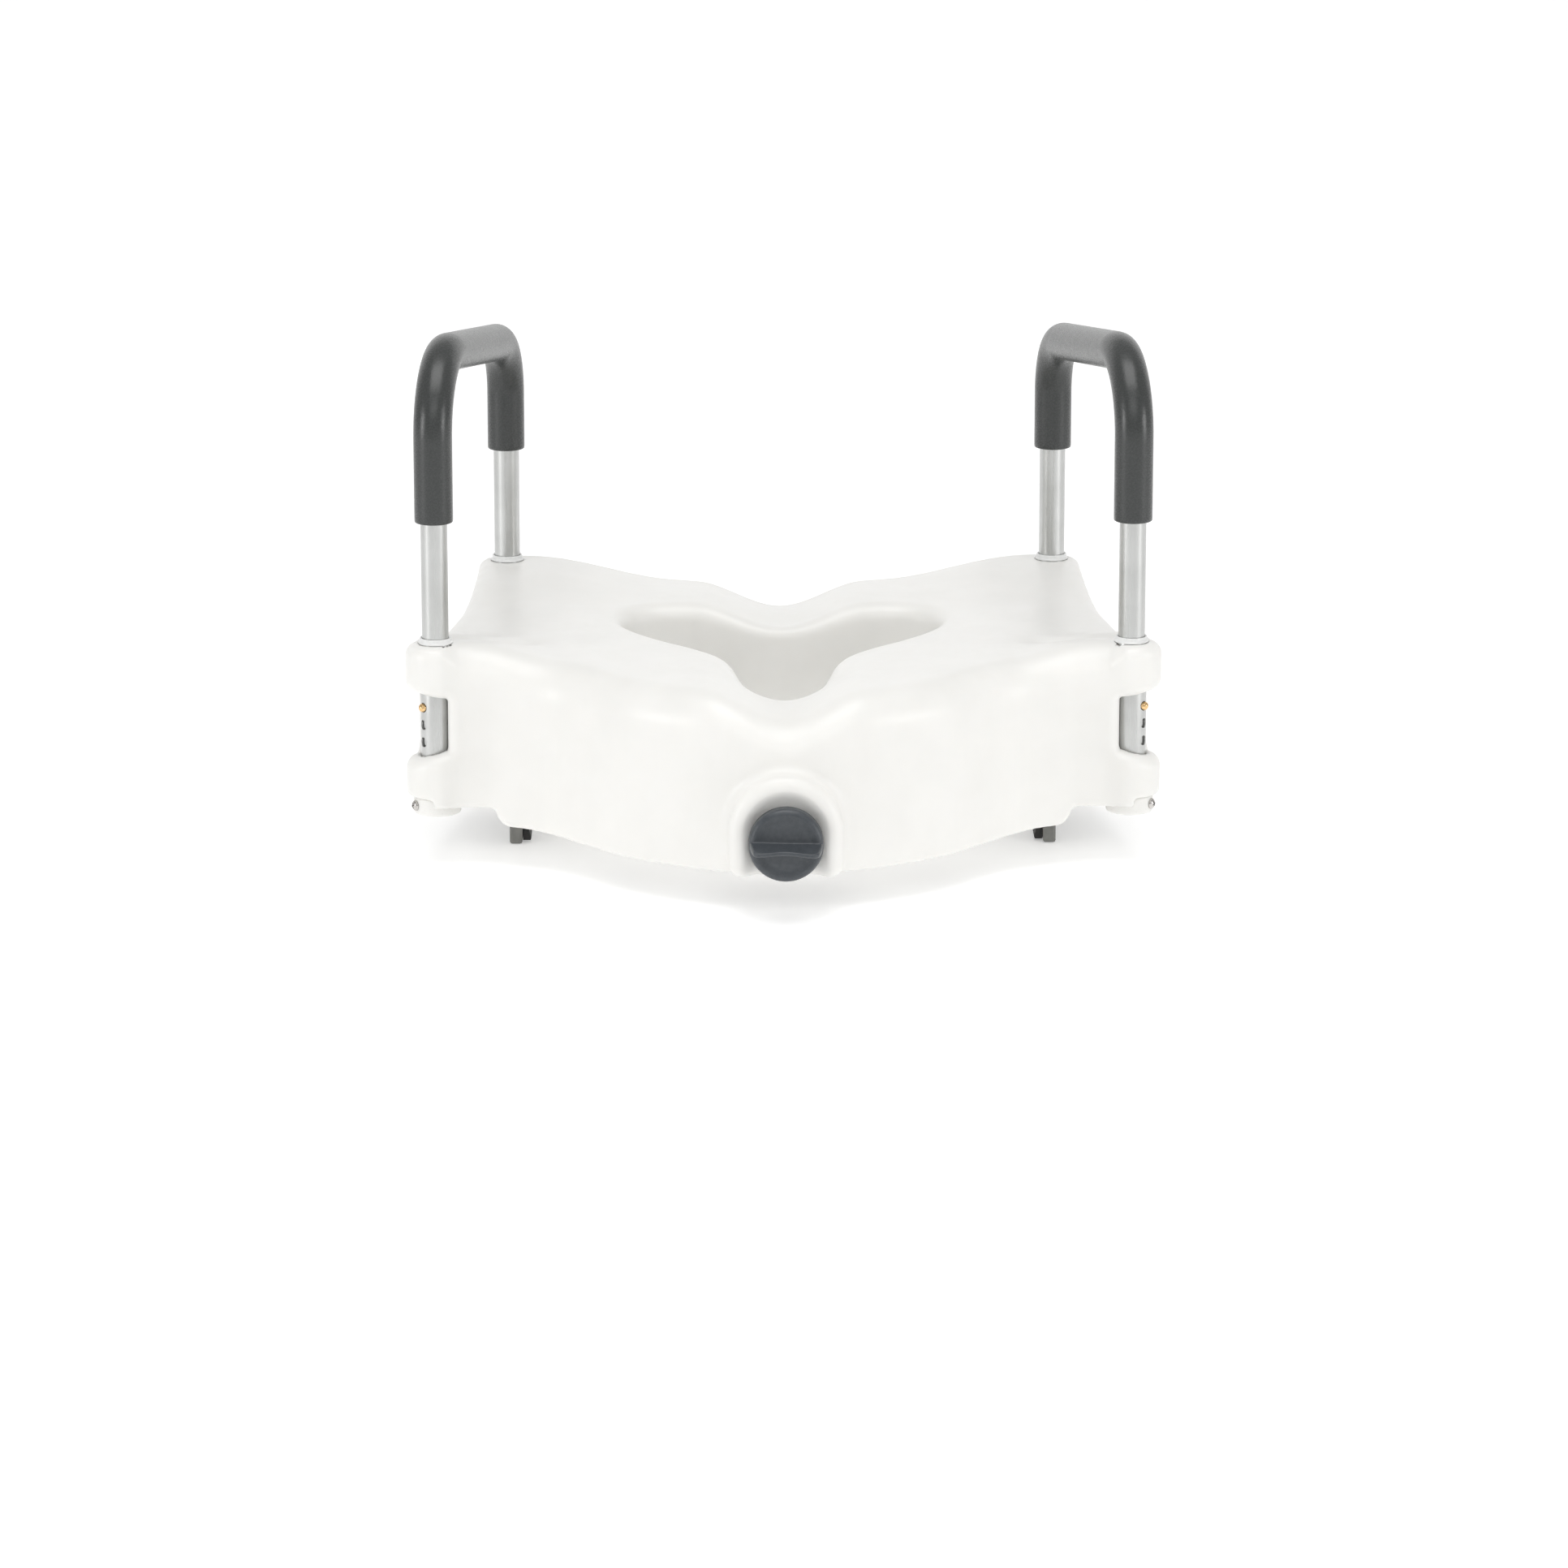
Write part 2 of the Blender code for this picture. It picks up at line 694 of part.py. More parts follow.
# ---------------------------------------------------------------- arms
def rounded_corner(before, corner, after, radius, steps):
    """Points of an arc that rounds the corner between two straight stretches."""
    to_before = (before - corner).normalized()
    to_after = (after - corner).normalized()
    half = to_before.angle(to_after) / 2
    tangent = radius / (sin(half) / cos(half))
    middle = corner + (to_before + to_after).normalized() * (radius / sin(half))
    start = corner + to_before * tangent - middle
    end = corner + to_after * tangent - middle
    sweep = start.angle(end)
    points = []
    for k in range(steps + 1):
        share = k / steps
        a = sin((1 - share) * sweep) / sin(sweep)
        b = sin(share * sweep) / sin(sweep)
        points.append(middle + start * a + end * b)
    return points


def arm_path(side, front_z, rear_z, steps=6):
    """Centre line of an arm, up its front leg, back along the bar, down the rear leg."""
    front_top = Vector((side * FRONT_LEG[0], FRONT_LEG[1], BAR_FRONT_Z))
    rear_top = Vector((side * REAR_LEG[0], REAR_LEG[1], BAR_REAR_Z))
    front_foot = Vector((front_top.x, front_top.y, front_z))
    rear_foot = Vector((rear_top.x, rear_top.y, rear_z))
    path = [front_foot]
    path += rounded_corner(front_foot, front_top, rear_top, FRONT_BEND_R, steps)
    path += rounded_corner(front_top, rear_top, rear_foot, REAR_BEND_R, steps)
    path.append(rear_foot)
    return path


def add_bent_tube(name, path, radius, wall, material, parent):
    """A hollow tube along a path: a bevelled curve made a mesh, given its wall."""
    curve = bpy.data.curves.new(name, "CURVE")
    curve.dimensions = "3D"
    curve.bevel_depth = radius
    curve.bevel_resolution = 4
    run = curve.splines.new("POLY")
    run.points.add(len(path) - 1)
    for point, target in zip(run.points, path):
        point.co = (*target, 1.0)
    guide = bpy.data.objects.new(f"{name}_guide", curve)
    CUTTERS.objects.link(guide)
    graph = bpy.context.evaluated_depsgraph_get()
    mesh = bpy.data.meshes.new_from_object(guide.evaluated_get(graph))
    bpy.data.objects.remove(guide)
    bm = bmesh.new()
    bm.from_mesh(mesh)
    bmesh.ops.remove_doubles(bm, verts=bm.verts, dist=0.00001)
    tube_mesh = mesh_from_bmesh(name, bm)
    tube_mesh.transform(Matrix.Translation(-Vector(parent.location)))
    obj = add_object(name, tube_mesh, material, parent=parent)
    solidify = obj.modifiers.new("wall", "SOLIDIFY")
    solidify.thickness = wall
    solidify.offset = -1.0
    solidify.use_even_offset = True
    return obj


def spring_mesh(name):
    """V-shaped leaf spring, its strip along local X and Z, its width along local Y."""
    near = BUTTON_FLANGE - 0.0010 - GAP - SPRING_THICK / 2
    run = [
        (near, 0.0045),
        (near, -0.0060),
        (0.0016, -0.0200),
        (0.0002, -0.0240),
        (-0.0016, -0.0254),
        (-0.0036, -0.0246),
        (-0.0058, -0.0200),
        (-0.0068, -0.0120),
        (-0.0068, 0.0045),
    ]
    bm = bmesh.new()
    rows = []
    for x, z in run:
        low = bm.verts.new((x, -SPRING_WIDTH / 2, z))
        high = bm.verts.new((x, SPRING_WIDTH / 2, z))
        rows.append((low, high))
    for (a, b), (c, d) in zip(rows, rows[1:]):
        bm.faces.new((a, b, d, c))
    return mesh_from_bmesh(name, bm)


def make_arm(side_name, side):
    origin = add_empty(
        f"{side_name}_arm_axis", (side * FRONT_LEG[0], FRONT_LEG[1], 0), DATUM_EMPTY
    )
    tube = add_bent_tube(
        f"arm_tube_{side_name}", arm_path(side, ARM_END, ARM_END), ARM_R, ARM_WALL,
        ALUMINIUM, origin,
    )
    add_bent_tube(
        f"arm_grip_{side_name}", arm_path(side, GRIP_FRONT_Z, GRIP_REAR_Z), GRIP_R,
        GRIP_WALL, FOAM, origin,
    )
    for end, leg in LEGS.items():
        tag = f"{end}_{side_name}"
        place = Vector((side * leg[0], leg[1], BUTTON_Z))
        turn = outward(side)
        cut_rod(
            tube, f"arm_hole_{tag}", BUTTON_R + GAP, 0.005, 0.012, 16,
            location=place, rotation=turn,
        )
        add_turned(
            f"snap_button_{tag}",
            [
                (0.0, BUTTON_TIP),
                (0.0013, BUTTON_TIP - 0.0003),
                (0.0024, BUTTON_TIP - 0.0011),
                (BUTTON_R, BUTTON_TIP - 0.0026),
                (BUTTON_R, BUTTON_FLANGE),
                (0.0042, BUTTON_FLANGE),
                (0.0042, BUTTON_FLANGE - 0.0010),
                (0.0, BUTTON_FLANGE - 0.0010),
            ],
            BRASS, 16, location=place, rotation=turn,
        )
        local = Matrix.Rotation(atan2(-sin(BUTTON_ANGLE), side * cos(BUTTON_ANGLE)), 3, "Z")
        spring = add_object(
            f"snap_spring_{tag}", spring_mesh(f"snap_spring_{tag}"), STEEL,
            location=place, rotation=local,
        )
        leaf = spring.modifiers.new("leaf", "SOLIDIFY")
        leaf.thickness = SPRING_THICK
        leaf.offset = 0.0


# ---------------------------------------------------------------- knob and clamp
def blade_mesh(name):
    """Bow-tie grip across the knob's face, thinner at the middle than at its ends."""
    upper = []
    for k in range(13):
        x = -0.0225 + 0.045 * k / 12
        upper.append((x, 0.0021 + 0.0020 * (abs(x) / 0.0225) ** 2))
    outline = [(x, BLADE_FRONT, KNOB_Z + z) for x, z in upper]
    outline += [(x, BLADE_FRONT, KNOB_Z - z) for x, z in reversed(upper)]
    return extruded_mesh(name, outline, (0, KNOB_FACE + 0.002 - BLADE_FRONT, 0))


def make_knob():
    place = {"location": (0, 0, KNOB_Z), "rotation": ALONG_Y}
    bore = SPINDLE_R + GAP
    socket = KNOB_BACK - KNOB_SOCKET
    knob = add_turned(
        "knob",
        [
            (0.0, socket),
            (bore, socket),
            (bore, KNOB_BACK),
            (KNOB_R - 0.001, KNOB_BACK),
            (KNOB_R, KNOB_BACK - 0.001),
            (KNOB_R, KNOB_FACE + 0.0035),
            (KNOB_R - 0.0009, KNOB_FACE + 0.0012),
            (KNOB_R - 0.0028, KNOB_FACE),
            (0.0, KNOB_FACE + 0.001),
        ],
        GREY, 40, **place,
    )
    blade = add_object("knob_blade", blade_mesh("knob_blade"))
    bevel(blade, 0.0012, 2)
    boolean(knob, blade, "UNION")


def make_spindle():
    """Screw spindle with the bushing, washer and circlip that hold it in the front wall."""
    place = {"location": (0, 0, KNOB_Z), "rotation": ALONG_Y}
    bore = SPINDLE_R + GAP
    front = KNOB_BACK - KNOB_SOCKET + GAP
    add_turned(
        "clamp_spindle",
        [
            (0.0, SPINDLE_END),
            (SPINDLE_R - 0.0008, SPINDLE_END),
            (SPINDLE_R, SPINDLE_END - 0.0008),
            (SPINDLE_R, front),
            (0.0, front),
        ],
        STEEL, 24, **place,
    )
    near = KNOB_BACK + GAP
    far = POCKET_FRONT - GAP
    add_turned(
        "spindle_bushing",
        [(bore, far), (BUSHING_R, far), (BUSHING_R, near), (bore, near)],
        NYLON, 24, **place,
    )
    washer = POCKET_FRONT + GAP
    clip = washer + WASHER_THICK + GAP
    rings = {
        "spindle_washer": (WASHER_R, washer, WASHER_THICK),
        "spindle_circlip": (CIRCLIP_R, clip, CIRCLIP_THICK),
    }
    for name, (radius, start, thick) in rings.items():
        end = start + thick
        ring = add_turned(
            name, [(bore, end), (radius, end), (radius, start), (bore, start)], STEEL, 24, **place
        )
    mouth = 0.0025
    low = (-mouth, clip - GAP, KNOB_Z - 2 * CIRCLIP_R)
    high = (mouth, clip + CIRCLIP_THICK + GAP, KNOB_Z)
    cut_box(ring, "circlip_mouth", low, high)


def bowed_mesh(name, front, thick, half, low_z, high_z):
    """A plate with its ends bent back to follow the bowl's round front."""
    steps = 7
    near = []
    far = []
    for k in range(steps + 1):
        x = -half + 2 * half * k / steps
        for row, depth in ((near, 0.0), (far, thick)):
            radius = PLATE_BOW_R - depth
            row.append((x, front + depth + radius - sqrt(radius * radius - x * x), low_z))
    return extruded_mesh(name, near + far[::-1], (0, 0, high_z - low_z))


def make_clamp():
    """Bowed plate with a hub for its nut and two bosses that ride on the guide pins."""
    plate = add_object(
        "clamp_plate",
        bowed_mesh("clamp_plate", PLATE_FRONT, PLATE_THICK, PLATE_HALF, PLATE_BOTTOM, PLATE_TOP),
        GREY,
    )
    blocks = {"hub": (0.0, HUB_HALF, 0.011, 0.0150)}
    for side_name, side in SIDES.items():
        blocks[f"pin_boss_{side_name}"] = (side * PIN_X, 0.006, 0.006, 0.0130)
    for name, (x, half, rise, depth) in blocks.items():
        low = (x - half, PLATE_FRONT + 0.001, KNOB_Z - rise)
        high = (x + half, PLATE_FRONT + depth, KNOB_Z + rise)
        boolean(plate, add_object(name, box_mesh(name, low, high)), "UNION")
    place = {"location": (0, 0, KNOB_Z), "rotation": ALONG_Y}
    cut_rod(plate, "hub_bore", SPINDLE_R + 2 * GAP, -0.15, -0.05, **place)
    nut_front = PLATE_FRONT + NUT_INSET
    cut_rod(plate, "nut_seat", NUT_R + 0.0004, nut_front, -0.05, 6, **place)
    for side_name, side in SIDES.items():
        make_guide_pin(plate, side_name, side)
    nut = add_object(
        "clamp_nut", rod_mesh("clamp_nut", NUT_R, nut_front + GAP, nut_front + NUT_HEIGHT, 6),
        BRASS, **place,
    )
    cut_rod(nut, "nut_bore", SPINDLE_R + 0.0002, -0.15, -0.05, **place)
    add_object(
        "clamp_pad",
        bowed_mesh(
            "clamp_pad", PLATE_FRONT + PLATE_THICK + GAP, CLAMP_PAD_THICK, PLATE_HALF - 0.002,
            PLATE_BOTTOM + 0.001, CLAMP_PAD_TOP,
        ),
        RUBBER,
    )


def make_guide_pin(plate, side_name, side):
    place = {"location": (side * PIN_X, 0, KNOB_Z), "rotation": ALONG_Y}
    cut_rod(plate, f"pin_bore_{side_name}", PIN_R + 0.0004, -0.15, -0.05, 16, **place)
    add_turned(
        f"guide_pin_{side_name}",
        [
            (0.0, PIN_END),
            (PIN_R - 0.0006, PIN_END),
            (PIN_R, PIN_END - 0.0006),
            (PIN_R, POCKET_FRONT - PIN_SEAT),
            (0.0, POCKET_FRONT - PIN_SEAT),
        ],
        STEEL, 16, **place,
    )


# ---------------------------------------------------------------- side brackets and pads
def bracket_screw_x():
    return FLANGE_OUTER_X - BRACKET_SCREW_INSET[0]


def bracket_screw_ys():
    inset = BRACKET_SCREW_INSET[1]
    return {"front": BRACKET_FRONT + inset, "rear": BRACKET_BACK - inset}


def make_bracket(side_name, side):
    inner = BRACKET_X - BRACKET_THICK / 2
    outer = BRACKET_X + BRACKET_THICK / 2
    top = WING_Z - GAP
    outline = [
        (inner, top),
        (FLANGE_OUTER_X, top),
        (FLANGE_OUTER_X, top - FLANGE_THICK),
        (outer, top - FLANGE_THICK),
        (outer, BRACKET_BOTTOM),
        (inner, BRACKET_BOTTOM),
    ]
    points = [(side * x, BRACKET_FRONT, z) for x, z in outline]
    name = f"side_bracket_{side_name}"
    depth = BRACKET_BACK - BRACKET_FRONT
    leg = add_object(name, extruded_mesh(name, points, (0, depth, 0)), GREY)
    bevel(leg, 0.0016, 2)
    head = top - FLANGE_THICK - GAP
    for end, y in bracket_screw_ys().items():
        place = (side * bracket_screw_x(), y, 0)
        cut_rod(
            leg, f"flange_hole_{end}_{side_name}", BRACKET_SCREW_R + 0.0004, WING_Z - 0.02,
            WING_Z + 0.01, 12, location=place,
        )
        add_turned(
            f"bracket_screw_{end}_{side_name}",
            [
                (0.0, WING_Z + 0.0160),
                (BRACKET_SCREW_R / 2, WING_Z + 0.0140),
                (BRACKET_SCREW_R, WING_Z + 0.0120),
                (BRACKET_SCREW_R, head),
                (0.0040, head),
                (0.0036, head - 0.0015),
                (0.0022, head - 0.0025),
                (0.0, head - 0.0027),
            ],
            STEEL, 16, location=place,
        )
    name = f"bracket_pad_{side_name}"
    add_object(name, wedge_mesh(name, side), RUBBER)


def wedge_mesh(name, side):
    """Rubber wedge on the bracket's inner face, thicker towards its lower edge."""
    face_x = BRACKET_X - BRACKET_THICK / 2 - GAP
    outline = [
        (face_x, -0.1400),
        (face_x - 0.0015, -0.1420),
        (face_x - 0.0060, -0.1590),
        (face_x - 0.0055, -0.1605),
        (face_x, -0.1605),
    ]
    margin = 0.006
    points = [(side * x, BRACKET_FRONT + margin, z) for x, z in outline]
    return extruded_mesh(name, points, (0, BRACKET_BACK - BRACKET_FRONT - 2 * margin, 0))


def make_rest_pads():
    for end, (x, y) in REST_PADS.items():
        for side_name, side in SIDES.items():
            top = WING_Z - GAP
            bottom = top - REST_PAD_HEIGHT
            add_turned(
                f"rest_pad_{end}_{side_name}",
                [
                    (0.0, top),
                    (REST_PAD_R, top),
                    (REST_PAD_R - 0.0005, bottom + 0.0012),
                    (REST_PAD_R - 0.0018, bottom),
                    (0.0, bottom),
                ],
                RUBBER, 24, location=(side * x, y, 0),
            )


clear_scene()
PARTS = bpy.data.collections.new("raised_toilet_seat")
CUTTERS = bpy.data.collections.new("cutters")
bpy.context.scene.collection.children.link(PARTS)
bpy.context.scene.collection.children.link(CUTTERS)
DATUM_EMPTY = add_empty("seat_datum", DATUM)

WHITE = make_material("white_plastic", (0.86, 0.86, 0.83), 0.38)
ALUMINIUM = make_material("satin_aluminium", (0.60, 0.61, 0.61), 0.34, 1.0)
FOAM = make_material("grey_foam", (0.095, 0.100, 0.098), 0.62)
GREY = make_material("grey_plastic", (0.065, 0.078, 0.090), 0.42)
NYLON = make_material("pale_nylon", (0.66, 0.68, 0.68), 0.40)
BRASS = make_material("brass", (0.70, 0.46, 0.22), 0.25, 1.0)
STEEL = make_material("plated_steel", (0.55, 0.54, 0.52), 0.25, 1.0)
RUBBER = make_material("dark_rubber", (0.03, 0.03, 0.03), 0.80)

make_seat_shell()
for end_name, leg_place in LEGS.items():
    for name_of_side, sign in SIDES.items():
        make_corner(end_name, leg_place, name_of_side, sign)
for name_of_side, sign in SIDES.items():
    make_arm(name_of_side, sign)
    make_bracket(name_of_side, sign)
make_knob()
make_spindle()
make_clamp()
make_rest_pads()
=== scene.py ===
from itertools import product
from math import cos, pi, radians, sin

import bmesh
import bpy
import numpy as np
from mathutils import Matrix, Vector


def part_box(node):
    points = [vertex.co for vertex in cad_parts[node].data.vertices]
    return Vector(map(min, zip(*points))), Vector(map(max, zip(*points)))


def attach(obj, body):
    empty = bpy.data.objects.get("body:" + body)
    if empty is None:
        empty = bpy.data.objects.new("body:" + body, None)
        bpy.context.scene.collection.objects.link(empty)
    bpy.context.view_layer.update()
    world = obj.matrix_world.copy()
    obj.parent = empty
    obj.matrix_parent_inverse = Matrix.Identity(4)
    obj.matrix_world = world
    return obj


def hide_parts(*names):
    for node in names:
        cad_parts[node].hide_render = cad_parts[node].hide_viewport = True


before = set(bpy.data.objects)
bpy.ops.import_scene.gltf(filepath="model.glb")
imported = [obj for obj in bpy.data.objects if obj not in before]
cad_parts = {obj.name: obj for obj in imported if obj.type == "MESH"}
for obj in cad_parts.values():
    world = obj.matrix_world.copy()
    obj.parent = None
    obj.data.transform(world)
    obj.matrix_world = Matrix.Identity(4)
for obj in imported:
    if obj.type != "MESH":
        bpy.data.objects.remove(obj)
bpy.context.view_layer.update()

# Places are read from the frame. They are written from a datum on the line between the
# front legs, level with the tops of the corner bosses, in metres.
SIDES = {"left": -1, "right": 1}
ENDS = ("front", "rear")


def middle_of(node):
    low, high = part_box(node)
    return (low + high) / 2


def leg_of(end):
    """Half width and distance behind the datum of one end's legs."""
    centre = middle_of(f"receiver_tube_{end}_right")
    return (centre.x, centre.y - DATUM.y)


DATUM = Vector(
    (0, middle_of("receiver_tube_front_right").y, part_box("receiver_tube_front_right")[1].z)
)
LEGS = {end: leg_of(end) for end in ENDS}
KNOB_Z = middle_of("clamp_spindle").z - DATUM.z
KNOB_TURN = radians(1.3)

# seat body
SEAT_Z = -0.0108
WING_Z = -0.118
SKIRT_Z = -0.136
SKIRT_THICK = 0.0135
SKIRT_END_X = 0.2065
SKIRT_RISE = 0.0045
SKIRT_RISE_FROM = 0.140
SKIRT_RISE_WIDTH = 0.055
LIP_R = 0.012
REAR_FALL = 0.0075
REAR_FALL_HALF = 0.17
FRONT_NOTCH_DEPTH = 0.013
FRONT_NOTCH_HALF = 0.056
REAR_NOTCH_DEPTH = 0.016
REAR_NOTCH_HALF = 0.062
VALLEY_START = (0.236, 0.020)
VALLEY_END = (0.165, 0.058)
VALLEY_DEPTH = 0.0030
VALLEY_HALF = 0.016
POCKET_HALF = 0.044
POCKET_Y = -0.0935
POCKET_HALF_DEPTH = 0.0245
POCKET_TOP = -0.090
BOSS_R = 0.0215
BOSS_EDGE_R = 0.008
LOWER_BOSS_Z = -0.111
UNDERSIDE_OUTSET = 0.0028
WINDOW_TOP = -0.038
WINDOW_BOTTOM = -0.082
WINDOW_INSET = 0.0087
WINDOW_BACK = 0.0235
ARCH_R = 0.0398
ARCH_Z = -0.1014
ARCH_FRONT = -0.150
ARCH_FOOT = -0.1345
ARCH_BACK = -0.122
DISH_R = 0.0315
DISH_DEPTH = 0.0070
RECEIVER_R = 0.0111
RECEIVER_INNER_R = 0.0099
RECEIVER_BOTTOM = -0.1205
COLLAR_R = 0.0170
COLLAR_BOTTOM = -0.1245
GAP = 0.0003

# arms
ARM_R = 0.009525
ARM_INNER_R = 0.008325
ARM_END = -0.076
BAR_FRONT_Z = 0.2082
BAR_REAR_Z = 0.1671
FRONT_BEND_R = 0.052
REAR_BEND_R = 0.045
GRIP_R = 0.01375
GRIP_FRONT_Z = 0.088
GRIP_REAR_Z = 0.0855
BUTTON_Z = -0.046
HOLE_PITCH = 0.0127
BUTTON_ANGLE = radians(35)
LOCK_HOLE_R = 0.0035
TUBE_HOLE_R = 0.0034
BUTTON_R = 0.0031
BUTTON_TIP = 0.0143
BUTTON_FLANGE = 0.0063
SCREW_ANGLE = radians(28)
SCREW_Z = -0.1175
SCREW_R = 0.0013
SCREW_HEAD_R = 0.0039
CROSS_HALF = (0.0019, 0.0004)
CROSS_TURN = 0.4

# knob and spindle
KNOB_BACK = -0.1473
KNOB_FACE = -0.1585
KNOB_R = 0.0262
BLADE_FRONT = -0.1735
BLADE_HALF = 0.0250
SPINDLE_R = 0.0048
THREAD_PITCH = 0.004
THREAD_DEPTH = 0.0011
THREAD_FROM = -0.117
SPINDLE_ENDS = (-0.1560, -0.0740)
SPINDLE_CHAMFER = 0.0012

# size of the cells in which a field is turned into a mesh
SEAT_CELL = 0.0025
KNOB_CELL = 0.00055
SHARP = radians(35)

# half outline of the body, front centre to rear centre: x, y, radius of the top edge
FRONT_EDGE = [
    (0.000, -0.1325, 0.026),
    (0.030, -0.1295, 0.026),
    (0.062, -0.1175, 0.026),
    (0.094, -0.0985, 0.026),
    (0.120, -0.0780, 0.026),
    (0.144, -0.0500, 0.026),
    (0.168, -0.0300, 0.026),
    (0.199, -0.0180, 0.026),
    (0.213, -0.0155, 0.025),
    (0.230, -0.0165, 0.022),
]
SIDE_EDGE = [
    (0.2615, 0.0300, 0.009),
    (0.2560, 0.0550, 0.013),
    (0.2490, 0.0900, 0.016),
    (0.2430, 0.1250, 0.016),
    (0.2365, 0.1660, 0.016),
    (0.2310, 0.2050, 0.015),
    (0.2275, 0.2400, 0.012),
]
REAR_EDGE = [
    (0.1800, 0.2925, 0.010),
    (0.1500, 0.2900, 0.015),
    (0.1100, 0.2865, 0.018),
    (0.0600, 0.2830, 0.018),
    (0.0300, 0.2790, 0.018),
    (0.0000, 0.2770, 0.018),
]
FRONT_BOSS_ARC = (radians(-104), radians(32))
REAR_BOSS_ARC = (radians(-8), radians(97))

# half outline of the opening's wall, front centre to rear centre
OPENING_EDGE = [
    (0.000, -0.057),
    (0.014, -0.054),
    (0.023, -0.043),
    (0.030, -0.023),
    (0.036, 0.004),
    (0.044, 0.024),
    (0.060, 0.046),
    (0.082, 0.070),
    (0.101, 0.096),
    (0.113, 0.122),
    (0.116, 0.145),
    (0.109, 0.163),
    (0.093, 0.173),
    (0.072, 0.175),
    (0.049, 0.170),
    (0.025, 0.163),
    (0.000, 0.160),
]


# ---------------------------------------------------------------- fields
# A solid is a function of x, y and z that is negative inside it and close to the distance
# near its surface.
def smooth_step(t):
    t = np.clip(t, 0.0, 1.0)
    return t * t * (3 - 2 * t)


def meet(a, b, r):
    """Where both solids are, with a round edge of radius r between their surfaces."""
    corner = np.sqrt(np.maximum(a + r, 0) ** 2 + np.maximum(b + r, 0) ** 2) - r
    return np.where((a > -r) & (b > -r), corner, np.maximum(a, b))


def join(a, b, r):
    """Both solids, with a fillet of radius r where they meet."""
    return -meet(-a, -b, r)


def cut(a, b, r):
    """The first solid without the second, with a round edge of radius r."""
    return meet(a, -b, r)


def spline(points, steps):
    """Points of a Catmull-Rom curve through the given ones."""
    points = np.array(points, float)
    padded = np.vstack([points[:1], points, points[-1:]])
    result = []
    for p0, p1, p2, p3 in zip(padded, padded[1:], padded[2:], padded[3:]):
        for t in np.arange(steps) / steps:
            result.append(
                0.5 * (2 * p1 + (p2 - p0) * t + (2 * p0 - 5 * p1 + 4 * p2 - p3) * t * t
                       + (3 * p1 - p0 - 3 * p2 + p3) * t ** 3)
            )
    result.append(points[-1])
    return np.array(result)


def boss_arc(leg, arc, count=14):
    angles = np.linspace(*arc, count)
    edge = np.full(count, BOSS_EDGE_R)
    return np.stack([leg[0] + BOSS_R * np.cos(angles), leg[1] + BOSS_R * np.sin(angles), edge], 1)


def outer_outline():
    """Half outline of the body as x, y and top edge radius, its stretches joined smoothly."""
    front = FRONT_EDGE[1]
    rear = REAR_EDGE[-2]
    before = [(-front[0], *front[1:])]
    after = [(-rear[0], *rear[1:])]
    front_arc = boss_arc(LEGS["front"], FRONT_BOSS_ARC)
    rear_arc = boss_arc(LEGS["rear"], REAR_BOSS_ARC)
    points = before + FRONT_EDGE + list(front_arc) + SIDE_EDGE + list(rear_arc) + REAR_EDGE + after
    steps = 4
    return spline(points, steps)[steps:-steps]


def opening_outline():
    front = OPENING_EDGE[1]
    rear = OPENING_EDGE[-2]
    points = [(-front[0], front[1])] + OPENING_EDGE + [(-rear[0], rear[1])]
    steps = 6
    return spline(points, steps)[steps:-steps]


class Plan:
    """Distances to a closed outline that is symmetric about x = 0, looked up on a map."""

    def __init__(self, outline, low, high, step=0.001):
        self.low = low
        self.step = step
        self.size = [int(np.ceil((high[k] - low[k]) / step)) + 1 for k in (0, 1)]
        xs = low[0] + step * np.arange(self.size[0])
        ys = low[1] + step * np.arange(self.size[1])
        points = np.stack(np.meshgrid(xs, ys, indexing="ij"), -1).reshape(-1, 2)
        flat = outline[:, :2]
        whole = np.vstack([flat, flat[::-1] * (-1, 1)])
        self.distance = self.measure(points, whole).reshape(self.size)
        if outline.shape[1] > 2:
            self.edge_r = self.weigh(points, outline).reshape(self.size)

    @staticmethod
    def measure(points, whole):
        best = np.full(len(points), 1e9)
        inside = np.zeros(len(points), bool)
        for a, b in zip(whole, np.roll(whole, -1, 0)):
            along = b - a
            length = along @ along
            if length < 1e-14:
                continue
            offset = points - a
            t = np.clip(offset @ along / length, 0, 1)
            gap = offset - t[:, None] * along
            best = np.minimum(best, (gap * gap).sum(1))
            crosses = (a[1] > points[:, 1]) != (b[1] > points[:, 1])
            if a[1] != b[1]:
                at = a[0] + (points[:, 1] - a[1]) * along[0] / along[1]
                inside ^= crosses & (points[:, 0] < at)
        return np.sqrt(best) * np.where(inside, -1, 1)

    @staticmethod
    def weigh(points, outline):
        """Edge radius near the outline: the nearest points count most."""
        total = np.zeros(len(points))
        weights = np.zeros(len(points))
        for x, y, r in outline[::2]:
            weight = 1 / ((points[:, 0] - x) ** 2 + (points[:, 1] - y) ** 2 + 0.006 ** 2) ** 3
            total += weight * r
            weights += weight
        return total / weights

    def look_up(self, grid, x, y):
        u = np.clip((np.abs(x) - self.low[0]) / self.step, 0, self.size[0] - 1.001)
        v = np.clip((y - self.low[1]) / self.step, 0, self.size[1] - 1.001)
        i = u.astype(int)
        j = v.astype(int)
        u = u - i
        v = v - j
        near = grid[i, j] * (1 - v) + grid[i, j + 1] * v
        far = grid[i + 1, j] * (1 - v) + grid[i + 1, j + 1] * v
        return near * (1 - u) + far * u


